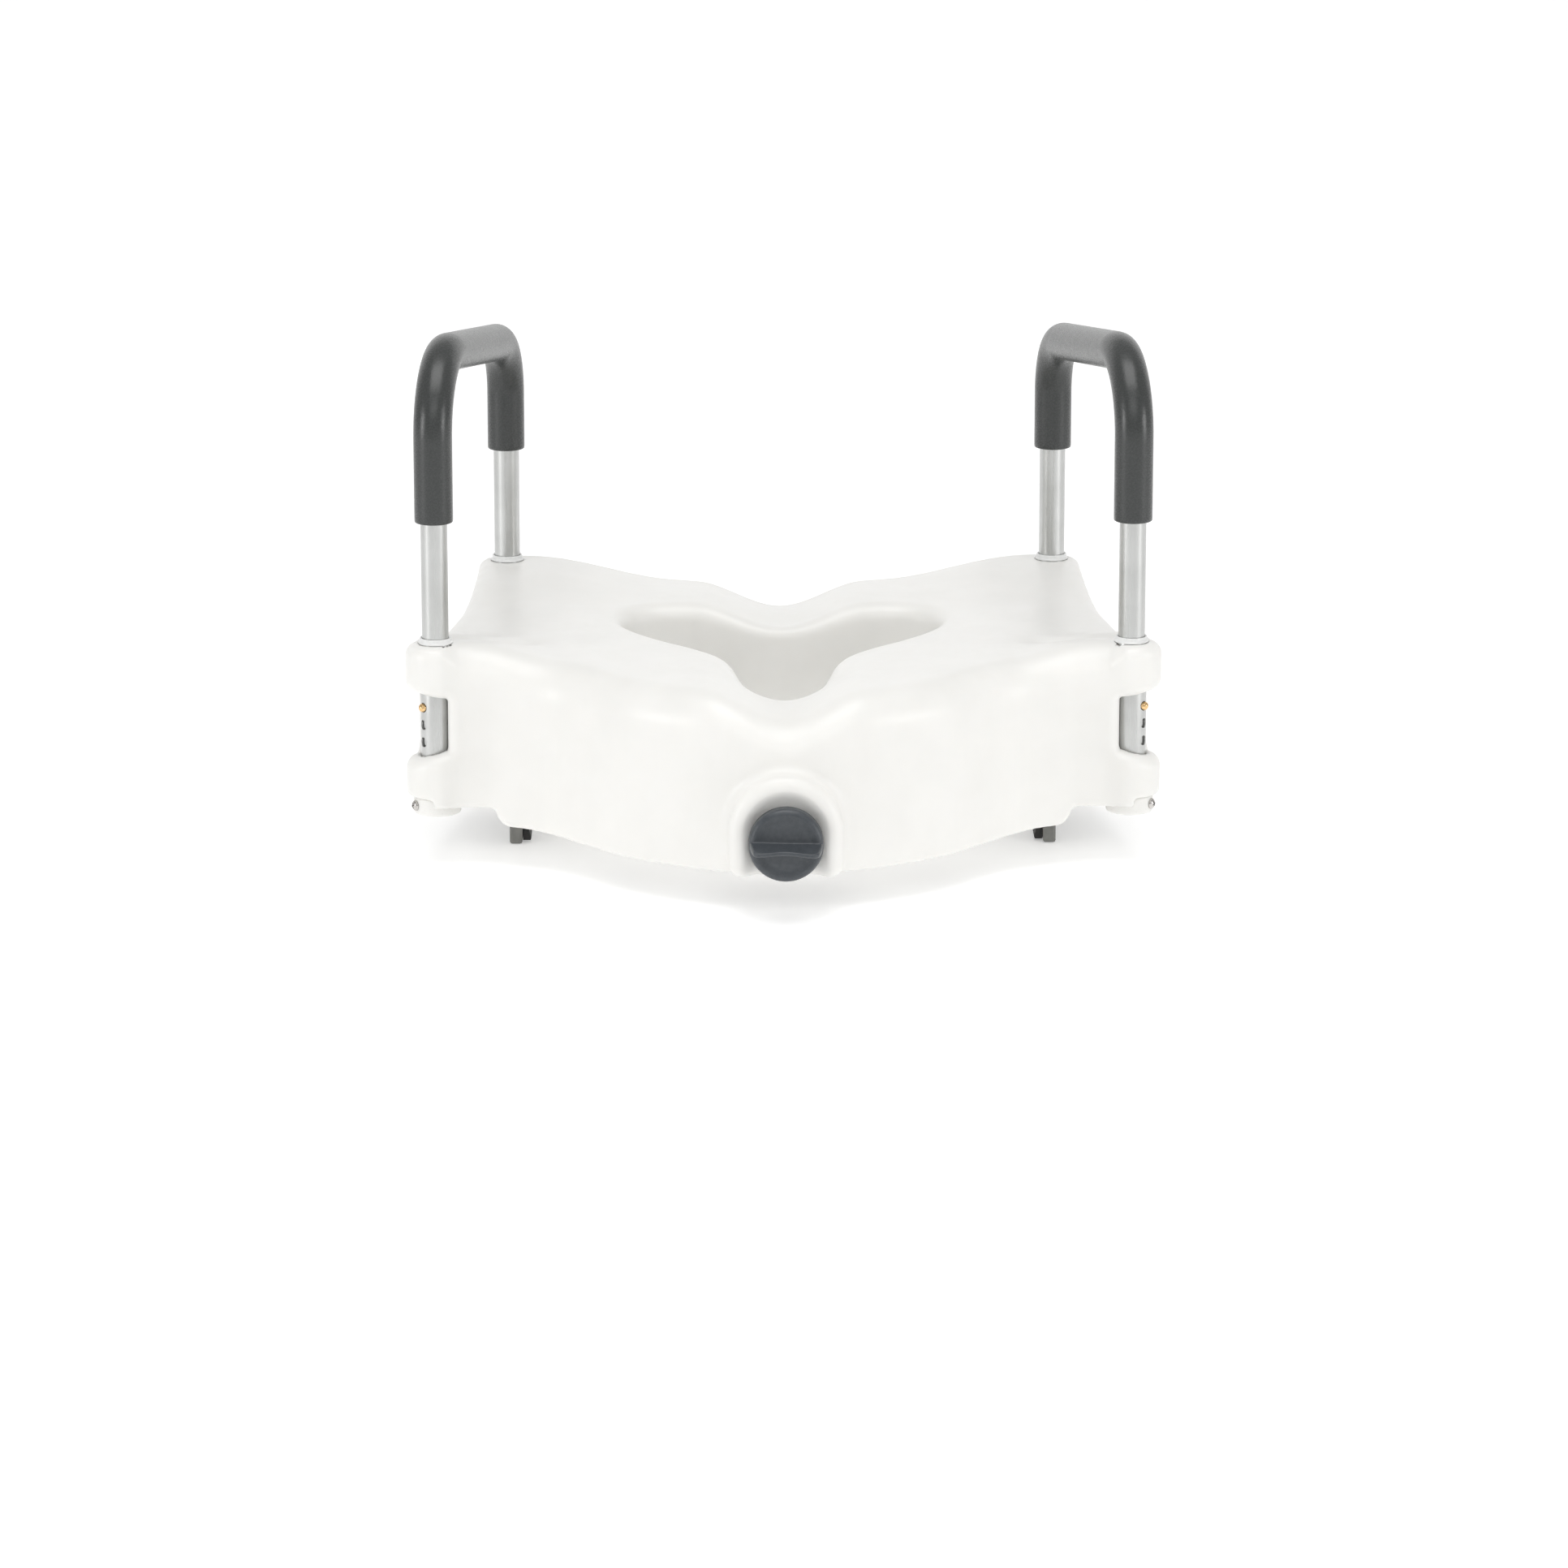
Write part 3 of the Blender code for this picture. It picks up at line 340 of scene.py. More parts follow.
def top_height(x, y, from_opening):
    """Height of the seating surface: dished, up to the bosses, down in both notches."""
    across = np.abs(x)
    front, rear = LEGS["front"], LEGS["rear"]
    to_front_leg = np.hypot(across - front[0], y - front[1])
    to_rear_leg = np.hypot(across - rear[0], y - rear[1])
    front_boss = smooth_step(1 - (to_front_leg - 0.019) / 0.070)
    rear_boss = smooth_step(1 - (to_rear_leg - 0.024) / 0.100)
    z = SEAT_Z * (1 - np.maximum(front_boss, rear_boss))
    z = z - REAR_FALL * smooth_step((y - 0.19) / 0.09) * (1 - smooth_step(across / REAR_FALL_HALF))
    ramp = smooth_step((0.010 - y) / 0.060)
    depth = FRONT_NOTCH_DEPTH + 0.007 * smooth_step((-y - 0.066) / 0.060)
    z = z - depth * ramp * (1 - smooth_step(across / FRONT_NOTCH_HALF))
    ramp = smooth_step((y - 0.125) / 0.055)
    z = z - REAR_NOTCH_DEPTH * ramp * (1 - smooth_step(across / REAR_NOTCH_HALF))
    z = z - 0.003 * smooth_step(1 - from_opening / 0.045)
    return z - valley(across, y)


def valley(across, y):
    """Shallow crease that runs inwards and back from behind each front boss."""
    start = np.array(VALLEY_START)
    end = np.array(VALLEY_END)
    along = (end - start) / np.linalg.norm(end - start)
    length = np.linalg.norm(end - start)
    dx = across - start[0]
    dy = y - start[1]
    t = (dx * along[0] + dy * along[1]) / length
    aside = np.abs(dx * along[1] - dy * along[0])
    fade = smooth_step((t + 0.25) / 0.35) * (1 - smooth_step((t - 0.55) / 0.6))
    return VALLEY_DEPTH * fade * (1 - smooth_step(aside / VALLEY_HALF))


def body_field(outer, opening):
    """The whole moulded seat body as a field."""

    def field(x, y, z):
        across = np.abs(x)
        side = outer.look_up(outer.distance, x, y)
        edge_r = outer.look_up(outer.edge_r, x, y)
        from_opening = opening.look_up(opening.distance, x, y)
        top = z - top_height(x, y, from_opening)
        solid = np.maximum(meet(side, top, edge_r), meet(-from_opening, top, LIP_R))
        slant = across + 0.30 * (WING_Z - z) - SKIRT_END_X
        rise = SKIRT_RISE * smooth_step((across - SKIRT_RISE_FROM) / SKIRT_RISE_WIDTH)
        ends = meet(slant, SKIRT_Z + rise - z, 0.008)
        strip = np.maximum(meet(-side - SKIRT_THICK, ends, 0.003), y - 0.01)
        below = join(WING_Z - z, strip, 0.004)
        solid = meet(solid, below, 0.003)
        solid = join(solid, arch_field(across, y, z), fillet_at(z))
        pocket = meet(across - POCKET_HALF, np.abs(y - POCKET_Y) - POCKET_HALF_DEPTH, 0.005)
        pocket = meet(pocket, z - POCKET_TOP, 0.004)
        solid = cut(solid, pocket, 0.0015)
        for end, sign in (("front", 1), ("rear", -1)):
            solid = cut_corner(solid, LEGS[end], sign, across, y, z)
        return solid

    return field


def fillet_at(z):
    return 0.001 + 0.006 * smooth_step((z + 0.134) / 0.014)


def arch_field(across, y, z):
    """Raised arch round the knob, with a dished face that falls away towards the knob."""
    above = np.hypot(across, z - ARCH_Z)
    legs = meet(across - ARCH_R, ARCH_FOOT - z, 0.009)
    outline = np.where(z > ARCH_Z, above - ARCH_R, legs)
    from_rim = np.where(z > ARCH_Z, above, across) - DISH_R
    face = ARCH_FRONT + DISH_DEPTH * smooth_step(-from_rim / 0.012)
    front = meet(outline, face - y, 0.0075)
    return np.maximum(front, y - ARCH_BACK)


def cut_corner(solid, leg, sign, across, y, z):
    """Window, raised underside, collar seat and bore at one corner."""
    behind = (y - leg[1]) * sign - WINDOW_BACK
    inboard = leg[0] - WINDOW_INSET - across
    outboard = np.clip(leg[0] + 0.0114 - across, 0.0, 0.03)
    ceiling = WINDOW_TOP + 0.0035 - 0.18 * outboard
    floor = WINDOW_BOTTOM + 0.0002 + 0.27 * outboard
    height = meet(z - ceiling, floor - z, 0.001)
    window = meet(meet(inboard, height, 0.0015), behind, 0.006)
    solid = cut(solid, window, 0.0085)
    near = np.hypot(across - leg[0], y - leg[1])
    recess = meet(leg[0] + UNDERSIDE_OUTSET - across, z - LOWER_BOSS_Z, 0.003)
    recess = np.maximum(recess, np.abs(y - leg[1]) - 0.030)
    solid = cut(solid, recess, 0.0035)
    seat = meet(near - COLLAR_R - 0.0005, z - LOWER_BOSS_Z, 0.0005)
    solid = cut(solid, seat, 0.0008)
    return cut(solid, near - RECEIVER_R - GAP, 0.0006)


# ---------------------------------------------------------------- field to mesh
def net_of(field, low, high, step):
    """Vertices and quads of a field's surface, one vertex in each cell that it crosses."""
    counts = [int(np.ceil((high[k] - low[k]) / step)) + 1 for k in range(3)]
    xs, ys, zs = (low[k] + step * np.arange(counts[k]) for k in range(3))
    values = field(xs[:, None, None], ys[None, :, None], zs[None, None, :])
    values = np.broadcast_to(values, counts).astype(np.float32)
    inside = values < 0
    cells = tuple(n - 1 for n in counts)
    corners = list(product((0, 1), repeat=3))

    def shifted(array, corner):
        return array[tuple(slice(c, c + n) for c, n in zip(corner, cells))]

    filled = sum(shifted(inside, c).astype(np.int8) for c in corners)
    active = (filled > 0) & (filled < 8)
    index = np.full(cells, -1)
    index[active] = np.arange(active.sum())
    at_corner = {c: shifted(values, c)[active] for c in corners}
    total = np.zeros((int(active.sum()), 3))
    crossings = np.zeros(len(total))
    for axis in range(3):
        for c in corners:
            if c[axis]:
                continue
            d = tuple(v + (k == axis) for k, v in enumerate(c))
            a, b = at_corner[c], at_corner[d]
            hit = (a < 0) != (b < 0)
            point = np.tile(np.array(c, float), (int(hit.sum()), 1))
            point[:, axis] += a[hit] / (a[hit] - b[hit])
            total[hit] += point
            crossings[hit] += 1
    base = np.argwhere(active)
    points = np.array(low) + step * (base + total / crossings[:, None])
    quads = []
    for axis in range(3):
        one, two = (axis + 1) % 3, (axis + 2) % 3
        start = [slice(1, n) for n in cells]
        start[axis] = slice(0, cells[axis])
        after = list(start)
        after[axis] = slice(1, cells[axis] + 1)
        first, second = inside[tuple(start)], inside[tuple(after)]
        for changes, flip in ((first & ~second, False), (~first & second, True)):
            place = np.argwhere(changes)
            place[:, one] += 1
            place[:, two] += 1
            ring = []
            for u, v in ((1, 1), (0, 1), (0, 0), (1, 0)):
                cell = place.copy()
                cell[:, one] -= u
                cell[:, two] -= v
                ring.append(index[tuple(cell.T)])
            ring = np.stack(ring, 1)
            quads.append(ring[:, ::-1] if flip else ring)
    return points, np.vstack(quads)


def settle(points, field, reach, rounds=3):
    """Moves the points onto the field's surface along its slope."""
    delta = 0.0002
    for _ in range(rounds):
        value = field(*points.T)
        slope = np.zeros_like(points)
        for axis in range(3):
            ahead = points.copy()
            behind = points.copy()
            ahead[:, axis] += delta
            behind[:, axis] -= delta
            slope[:, axis] = (field(*ahead.T) - field(*behind.T)) / (2 * delta)
        size = (slope * slope).sum(1) + 1e-6
        move = -slope * (value / size)[:, None]
        length = np.linalg.norm(move, axis=1)
        points = points + move * np.minimum(1, reach / np.maximum(length, 1e-9))[:, None]
    return points


def mesh_of_quads(name, points, quads):
    mesh = bpy.data.meshes.new(name)
    mesh.vertices.add(len(points))
    mesh.vertices.foreach_set("co", points.astype(np.float32).ravel())
    mesh.loops.add(quads.size)
    mesh.loops.foreach_set("vertex_index", quads.astype(np.int32).ravel())
    mesh.polygons.add(len(quads))
    mesh.polygons.foreach_set("loop_start", np.arange(0, quads.size, 4, dtype=np.int32))
    mesh.update(calc_edges=True)
    mesh.validate()
    mesh.shade_smooth()
    return mesh


def carved(name, field, low, high, step):
    points, quads = net_of(field, low, high, step)
    return mesh_of_quads(name, settle(points, field, step / 2), quads)


# ---------------------------------------------------------------- pieces
def add_piece(name, mesh, body, material, nodes, location=(0, 0, 0), rotation=None):
    """A finished piece, placed from the datum, on its body and in place of its CAD nodes."""
    obj = bpy.data.objects.new(name, mesh)
    bpy.context.scene.collection.objects.link(obj)
    obj.location = DATUM + Vector(location)
    if rotation is not None:
        obj.rotation_mode = "QUATERNION"
        obj.rotation_quaternion = rotation
    mesh.materials.clear()
    mesh.materials.append(material)
    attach(obj, body)
    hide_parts(*nodes)
    return obj


def turned(name, profile, segments):
    """A solid turned about Z from its outer side's points (radius, height), top to bottom."""
    bm = bmesh.new()
    rings = []
    for r, z in profile:
        if r < 1e-7:
            rings.append([bm.verts.new((0, 0, z))])
            continue
        ring = []
        for k in range(segments):
            angle = 2 * pi * k / segments
            ring.append(bm.verts.new((r * cos(angle), r * sin(angle), z)))
        rings.append(ring)
    closed = len(rings[0]) > 1
    pairs = list(zip(rings, rings[1:]))
    if closed:
        pairs.append((rings[-1], rings[0]))
    for upper, lower in pairs:
        for k in range(segments):
            j = (k + 1) % segments
            corners = []
            for vert in (upper[k % len(upper)], lower[k % len(lower)],
                         lower[j % len(lower)], upper[j % len(upper)]):
                if vert not in corners:
                    corners.append(vert)
            if len(corners) > 2:
                bm.faces.new(corners)
    return finished(name, bm)


def finished(name, bm, sharp=SHARP):
    mesh = bpy.data.meshes.new(name)
    bmesh.ops.recalc_face_normals(bm, faces=bm.faces)
    bm.to_mesh(mesh)
    bm.free()
    mesh.shade_smooth()
    mesh.set_sharp_from_angle(angle=sharp)
    return mesh


def rounded(profile, r, steps=5):
    """A profile whose corners are rounded with radius r, or less where there is no room."""
    points = [Vector(p) for p in profile]
    result = []
    for i, point in enumerate(points):
        if i == 0 or i == len(points) - 1:
            closed = points[0].x > 1e-7
            if not closed:
                result.append(tuple(point))
                continue
        before = points[i - 1] - point
        after = points[(i + 1) % len(points)] - point
        reach = min(r, before.length * 0.45, after.length * 0.45)
        if abs(before.normalized().dot(after.normalized())) > 0.98:
            result.append(tuple(point))
            continue
        start = point + before.normalized() * reach
        end = point + after.normalized() * reach
        for k in range(steps + 1):
            t = k / steps
            result.append(tuple((1 - t) ** 2 * start + 2 * t * (1 - t) * point + t * t * end))
    return result


def outward(side, angle):
    """Rotation of +Z to a direction outboard and to the front."""
    return Vector((side * cos(angle), -sin(angle), 0)).to_track_quat("Z", "Y")


def boolean(mesh, cutter, place):
    """A mesh with another cut from it, as a new mesh."""
    body = bpy.data.objects.new("body", mesh)
    tool = bpy.data.objects.new("tool", cutter)
    tool.matrix_world = place
    for obj in (body, tool):
        bpy.context.scene.collection.objects.link(obj)
    mod = body.modifiers.new("cut", "BOOLEAN")
    mod.operation = "DIFFERENCE"
    mod.object = tool
    graph = bpy.context.evaluated_depsgraph_get()
    result = bpy.data.meshes.new_from_object(body.evaluated_get(graph))
    bpy.data.objects.remove(body)
    bpy.data.objects.remove(tool)
    return result


def box_mesh(low, high):
    bm = bmesh.new()
    bmesh.ops.create_cube(bm, size=1.0)
    bmesh.ops.scale(bm, vec=Vector(high) - Vector(low), verts=bm.verts)
    bmesh.ops.translate(bm, vec=(Vector(high) + Vector(low)) / 2, verts=bm.verts)
    return finished("box", bm)


# ---------------------------------------------------------------- materials
class Paint:
    """A Principled material with a few helpers to build its nodes."""

    MIDDLE = (0.3, 0.7)    # the part of a noise's range that holds nearly all of its values

    def __init__(self, name, colour, roughness, metallic=0.0):
        self.material = bpy.data.materials.new(name)
        self.material.use_nodes = True
        self.tree = self.material.node_tree
        self.shader = self.tree.nodes["Principled BSDF"]
        self.set("Base Color", (*colour, 1.0))
        self.set("Roughness", roughness)
        self.set("Metallic", metallic)
        self.place = self.tree.nodes.new("ShaderNodeTexCoord").outputs["Object"]

    def set(self, socket, value):
        self.shader.inputs[socket].default_value = value

    def noise(self, scale, detail, stretch=(1, 1, 1)):
        """Noise with its features 1/scale metres apart, drawn out along an axis."""
        mapping = self.tree.nodes.new("ShaderNodeMapping")
        mapping.inputs["Scale"].default_value = stretch
        self.tree.links.new(self.place, mapping.inputs["Vector"])
        node = self.tree.nodes.new("ShaderNodeTexNoise")
        node.inputs["Scale"].default_value = scale
        node.inputs["Detail"].default_value = detail
        node.inputs["Roughness"].default_value = 0.55
        self.tree.links.new(mapping.outputs["Vector"], node.inputs["Vector"])
        return node.outputs["Fac"]

    def cells(self, scale):
        node = self.tree.nodes.new("ShaderNodeTexVoronoi")
        node.inputs["Scale"].default_value = scale
        self.tree.links.new(self.place, node.inputs["Vector"])
        return node.outputs["Distance"]

    def spread(self, value, low, high):
        node = self.tree.nodes.new("ShaderNodeMapRange")
        node.inputs["From Min"].default_value, node.inputs["From Max"].default_value = self.MIDDLE
        node.inputs["To Min"].default_value = low
        node.inputs["To Max"].default_value = high
        self.tree.links.new(value, node.inputs["Value"])
        return node.outputs["Result"]

    def vary_colour(self, value, dark, light):
        ramp = self.tree.nodes.new("ShaderNodeValToRGB")
        for element, position in zip(ramp.color_ramp.elements, self.MIDDLE):
            element.position = position
        ramp.color_ramp.elements[0].color = (*dark, 1)
        ramp.color_ramp.elements[1].color = (*light, 1)
        self.tree.links.new(value, ramp.inputs["Fac"])
        self.tree.links.new(ramp.outputs["Color"], self.shader.inputs["Base Color"])

    def vary_roughness(self, value, low, high):
        self.tree.links.new(self.spread(value, low, high), self.shader.inputs["Roughness"])

    def bump(self, *layers):
        """Layers of (height value, depth in metres), stacked."""
        normal = None
        for value, depth in layers:
            node = self.tree.nodes.new("ShaderNodeBump")
            node.inputs["Strength"].default_value = 1.0
            node.inputs["Distance"].default_value = depth
            self.tree.links.new(value, node.inputs["Height"])
            if normal is not None:
                self.tree.links.new(normal, node.inputs["Normal"])
            normal = node.outputs["Normal"]
        self.tree.links.new(normal, self.shader.inputs["Normal"])
        return self


def white_plastic():
    """Blow-moulded polyethylene: a satin skin with a faint waviness and fine grain."""
    paint = Paint("white_plastic", (0.80, 0.795, 0.77), 0.34)
    paint.set("Subsurface Weight", 0.12)
    paint.set("Subsurface Radius", (0.006, 0.0055, 0.005))
    paint.set("Subsurface Scale", 1.0)
    paint.set("Specular IOR Level", 0.45)
    wave = paint.noise(28, 2)
    paint.vary_colour(wave, (0.825, 0.818, 0.790), (0.85, 0.842, 0.815))
    paint.vary_roughness(paint.noise(160, 4), 0.29, 0.39)
    return paint.bump((wave, 0.0007), (paint.noise(2200, 2), 0.00003)).material


def white_collar():
    """Injection-moulded white plastic, a shade glossier than the body."""
    paint = Paint("white_collar", (0.80, 0.79, 0.76), 0.30)
    grain = paint.noise(900, 3)
    paint.vary_colour(paint.noise(60, 2), (0.825, 0.818, 0.790), (0.85, 0.842, 0.815))
    paint.vary_roughness(grain, 0.26, 0.36)
    return paint.bump((grain, 0.00002)).material


def satin_aluminium():
    """Anodised tube with faint drawing lines along it."""
    paint = Paint("satin_aluminium", (0.54, 0.545, 0.535), 0.30, 1.0)
    lines = paint.noise(900, 3, (1, 1, 0.012))
    blotch = paint.noise(45, 3)
    paint.vary_colour(blotch, (0.515, 0.52, 0.51), (0.565, 0.57, 0.56))
    paint.vary_roughness(lines, 0.24, 0.36)
    return paint.bump((lines, 0.00003), (paint.noise(6000, 1), 0.00001)).material


def grey_foam():
    """Closed-cell foam with a satin skin and fine pores."""
    paint = Paint("grey_foam", (0.034, 0.037, 0.036), 0.28)
    paint.set("Sheen Weight", 0.06)
    paint.set("Sheen Roughness", 0.5)
    paint.set("Specular IOR Level", 0.55)
    pores = paint.cells(1500)
    grain = paint.noise(700, 5)
    paint.vary_colour(grain, (0.031, 0.034, 0.033), (0.037, 0.040, 0.039))
    paint.vary_roughness(grain, 0.23, 0.32)
    return paint.bump((paint.noise(90, 2), 0.0002), (pores, 0.00004)).material


def grey_plastic():
    """Moulded slate-grey plastic with a fine spark-eroded texture."""
    paint = Paint("grey_plastic", (0.072, 0.084, 0.096), 0.40)
    grain = paint.noise(2600, 3)
    paint.vary_colour(paint.noise(300, 4), (0.046, 0.053, 0.061), (0.064, 0.072, 0.081))
    paint.vary_roughness(grain, 0.26, 0.40)
    return paint.bump((grain, 0.00006)).material


def bracket_plastic():
    """Grey moulded plastic of the side brackets, a little warmer than the knob's."""
    paint = Paint("bracket_plastic", (0.135, 0.135, 0.125), 0.5)
    grain = paint.noise(1500, 4)
    paint.vary_colour(paint.noise(140, 4), (0.17, 0.17, 0.16), (0.22, 0.22, 0.205))
    paint.vary_roughness(grain, 0.42, 0.60)
    return paint.bump((grain, 0.00008)).material


def pale_nylon():
    """Pale bushing plastic that lets a little light in."""
    paint = Paint("pale_nylon", (0.77, 0.775, 0.765), 0.36)
    paint.set("Subsurface Weight", 0.15)
    paint.set("Subsurface Radius", (0.002, 0.002, 0.002))
    paint.vary_colour(paint.noise(400, 3), (0.74, 0.745, 0.735), (0.80, 0.805, 0.795))
    paint.vary_roughness(paint.noise(1200, 2), 0.30, 0.44)
    return paint.bump((paint.noise(3000, 2), 0.00002)).material


def polished_metal(name, dark, light, low, high):
    """Bright metal with fine scuffs."""
    paint = Paint(name, light, low, 1.0)
    scuffs = paint.noise(1400, 4, (1, 0.2, 1))
    paint.vary_colour(paint.noise(500, 3), dark, light)
    paint.vary_roughness(scuffs, low, high)
    return paint.bump((scuffs, 0.00001)).material


def dark_rubber():
    """Matt rubber with a fine grain."""
    paint = Paint("dark_rubber", (0.028, 0.028, 0.028), 0.72)
    grain = paint.noise(1800, 4)
    paint.vary_colour(paint.noise(250, 4), (0.022, 0.022, 0.022), (0.038, 0.037, 0.036))
    paint.vary_roughness(grain, 0.62, 0.85)
    return paint.bump((grain, 0.00012)).material


# ---------------------------------------------------------------- seat body
def make_seat():
    low = (-0.002, -0.156)
    high = (0.272, 0.298)
    outer = Plan(outer_outline(), low, high)
    opening = Plan(opening_outline(), low, high)
    mesh = carved(
        "seat", body_field(outer, opening), (-0.2735, -0.1545, -0.1405), (0.2735, 0.2975, 0.0045),
        SEAT_CELL,
    )
    add_piece("seat", mesh, "seat", WHITE, ["seat_shell"])


# ---------------------------------------------------------------- corners
def make_receiver(tag, side, place):
    """Receiver tube with three round lock holes through its outboard wall."""
    profile = [
        (RECEIVER_INNER_R, 0.0), (RECEIVER_R, 0.0),
        (RECEIVER_R, RECEIVER_BOTTOM), (RECEIVER_INNER_R, RECEIVER_BOTTOM),
    ]
    mesh = turned("receiver", rounded(profile, 0.0003, 2), 72)
    turn = outward(side, BUTTON_ANGLE)
    for k in range(3):
        bm = bmesh.new()
        bmesh.ops.create_cone(
            bm, cap_ends=True, segments=32, radius1=LOCK_HOLE_R, radius2=LOCK_HOLE_R, depth=0.012
        )
        hole = turn.to_matrix().to_4x4()
        hole.translation = Vector((0, 0, BUTTON_Z - k * HOLE_PITCH))
        hole = hole @ Matrix.Translation((0, 0, 0.011))
        mesh = boolean(mesh, finished("hole", bm), hole)
    mesh.shade_smooth()
    mesh.set_sharp_from_angle(angle=SHARP)
    name = f"receiver_{tag}"
    return add_piece(
        name, mesh, "seat", ALUMINIUM, [f"receiver_tube_{tag}"], place
    )


def make_bushing(tag, place):
    profile = [
        (0.0098, 0.0040), (0.0102, 0.0042), (0.0108, 0.0042), (0.0111, 0.0038), (0.0112, 0.0030),
        (0.0113, 0.0021), (0.0117, 0.0014), (0.0123, 0.0010), (0.0123, 0.0003), (0.0098, 0.0003),
    ]
    mesh = turned("bushing", profile, 72)
    add_piece(f"bushing_{tag}", mesh, "seat", NYLON, [f"top_bushing_{tag}"], place)


def make_collar(tag, place):
    bore = RECEIVER_R + GAP
    profile = [
        (0.0, RECEIVER_BOTTOM - GAP), (bore, RECEIVER_BOTTOM - GAP),
        (bore, LOWER_BOSS_Z - GAP), (COLLAR_R, LOWER_BOSS_Z - GAP),
        (COLLAR_R, COLLAR_BOTTOM), (0.0, COLLAR_BOTTOM),
    ]
    mesh = turned("collar", rounded(profile, 0.0026, 8), 96)
    add_piece(f"collar_{tag}", mesh, "seat", COLLAR, [f"socket_collar_{tag}"], place)


def make_screw(tag, side, place):
    """Pan-head screw with a cross recess."""
    head = COLLAR_R + 0.0001
    tip = RECEIVER_INNER_R + 0.0001
    profile = [(0.0, head + 0.0026), (0.0010, head + 0.00255), (0.0020, head + 0.0023)]
    profile += [(0.0028, head + 0.0018), (0.0035, head + 0.0012), (SCREW_HEAD_R, head + 0.0005)]
    profile += [(SCREW_HEAD_R, head), (SCREW_R, head), (SCREW_R, tip), (0.0, tip)]
    mesh = turned("screw", profile, 40)
    half_long, half_wide = CROSS_HALF
    for quarter in range(2):
        slot = box_mesh((-half_long, -half_wide, head + 0.0010), (half_long, half_wide, head + 0.004))
        mesh = boolean(mesh, slot, Matrix.Rotation(quarter * pi / 2 + CROSS_TURN, 4, "Z"))
    mesh.shade_smooth()
    mesh.set_sharp_from_angle(angle=SHARP)
    at = (place[0], place[1], SCREW_Z)
    add_piece(
        f"screw_{tag}", mesh, "seat", STEEL, [f"collar_screw_{tag}"], at,
        outward(side, SCREW_ANGLE),
    )


def make_button(tag, side, place):
    """Brass snap button: a domed pin with a flange inside the tube."""
    tip, flange, r = BUTTON_TIP, BUTTON_FLANGE, BUTTON_R
    profile = [(0.0, tip)]
    for k in range(1, 8):
        angle = k * pi / 2 / 7
        profile.append((r * sin(angle), tip - 0.0026 * (1 - cos(angle))))
    profile += [(r, flange), (0.0042, flange), (0.0042, flange - 0.001), (0.0, flange - 0.001)]
    mesh = turned("button", profile, 40)
    at = (place[0], place[1], BUTTON_Z)
    add_piece(
        f"button_{tag}", mesh, f"{tag}_button", BRASS, [f"snap_button_{tag}"], at,
        outward(side, BUTTON_ANGLE),
    )


def make_corners():
    for end in ENDS:
        for name, side in SIDES.items():
            tag = f"{end}_{name}"
            leg = LEGS[end]
            place = (side * leg[0], leg[1], 0)
            make_receiver(tag, side, place)
            make_bushing(tag, place)
            make_collar(tag, place)
            make_screw(tag, side, place)
            make_button(tag, side, place)


# ---------------------------------------------------------------- arms
def bend_points(before, corner, after, radius, steps):
    """Points of an arc that rounds the corner between two straight stretches."""
    to_before = (before - corner).normalized()
    to_after = (after - corner).normalized()
    half = to_before.angle(to_after) / 2
    tangent = radius / (sin(half) / cos(half))
    centre = corner + (to_before + to_after).normalized() * (radius / sin(half))
    start = corner + to_before * tangent - centre
    end = corner + to_after * tangent - centre
    sweep = start.angle(end)
    points = []
    for k in range(steps + 1):
        share = k / steps
        a = sin((1 - share) * sweep) / sin(sweep)
        b = sin(share * sweep) / sin(sweep)
        points.append(centre + start * a + end * b)
    return points


def straight(start, end, step):
    count = max(2, int((end - start).length / step))
    return [start.lerp(end, k / count) for k in range(count)]


def arm_path(side, front_z, rear_z, step=0.004):
    """Centre line of an arm, up its front leg, back along the bar, down the rear leg."""
    (front_x, front_y), (rear_x, rear_y) = LEGS["front"], LEGS["rear"]
    front_top = Vector((side * front_x, front_y, BAR_FRONT_Z))
    rear_top = Vector((side * rear_x, rear_y, BAR_REAR_Z))
    front_foot = Vector((front_top.x, front_top.y, front_z))
    rear_foot = Vector((rear_top.x, rear_top.y, rear_z))
    first = bend_points(front_foot, front_top, rear_top, FRONT_BEND_R, 22)
    second = bend_points(front_top, rear_top, rear_foot, REAR_BEND_R, 22)
    path = straight(front_foot, first[0], step) + first[:-1]
    path += straight(first[-1], second[0], step) + second[:-1]
    path += straight(second[-1], rear_foot, step) + [rear_foot]
    return path


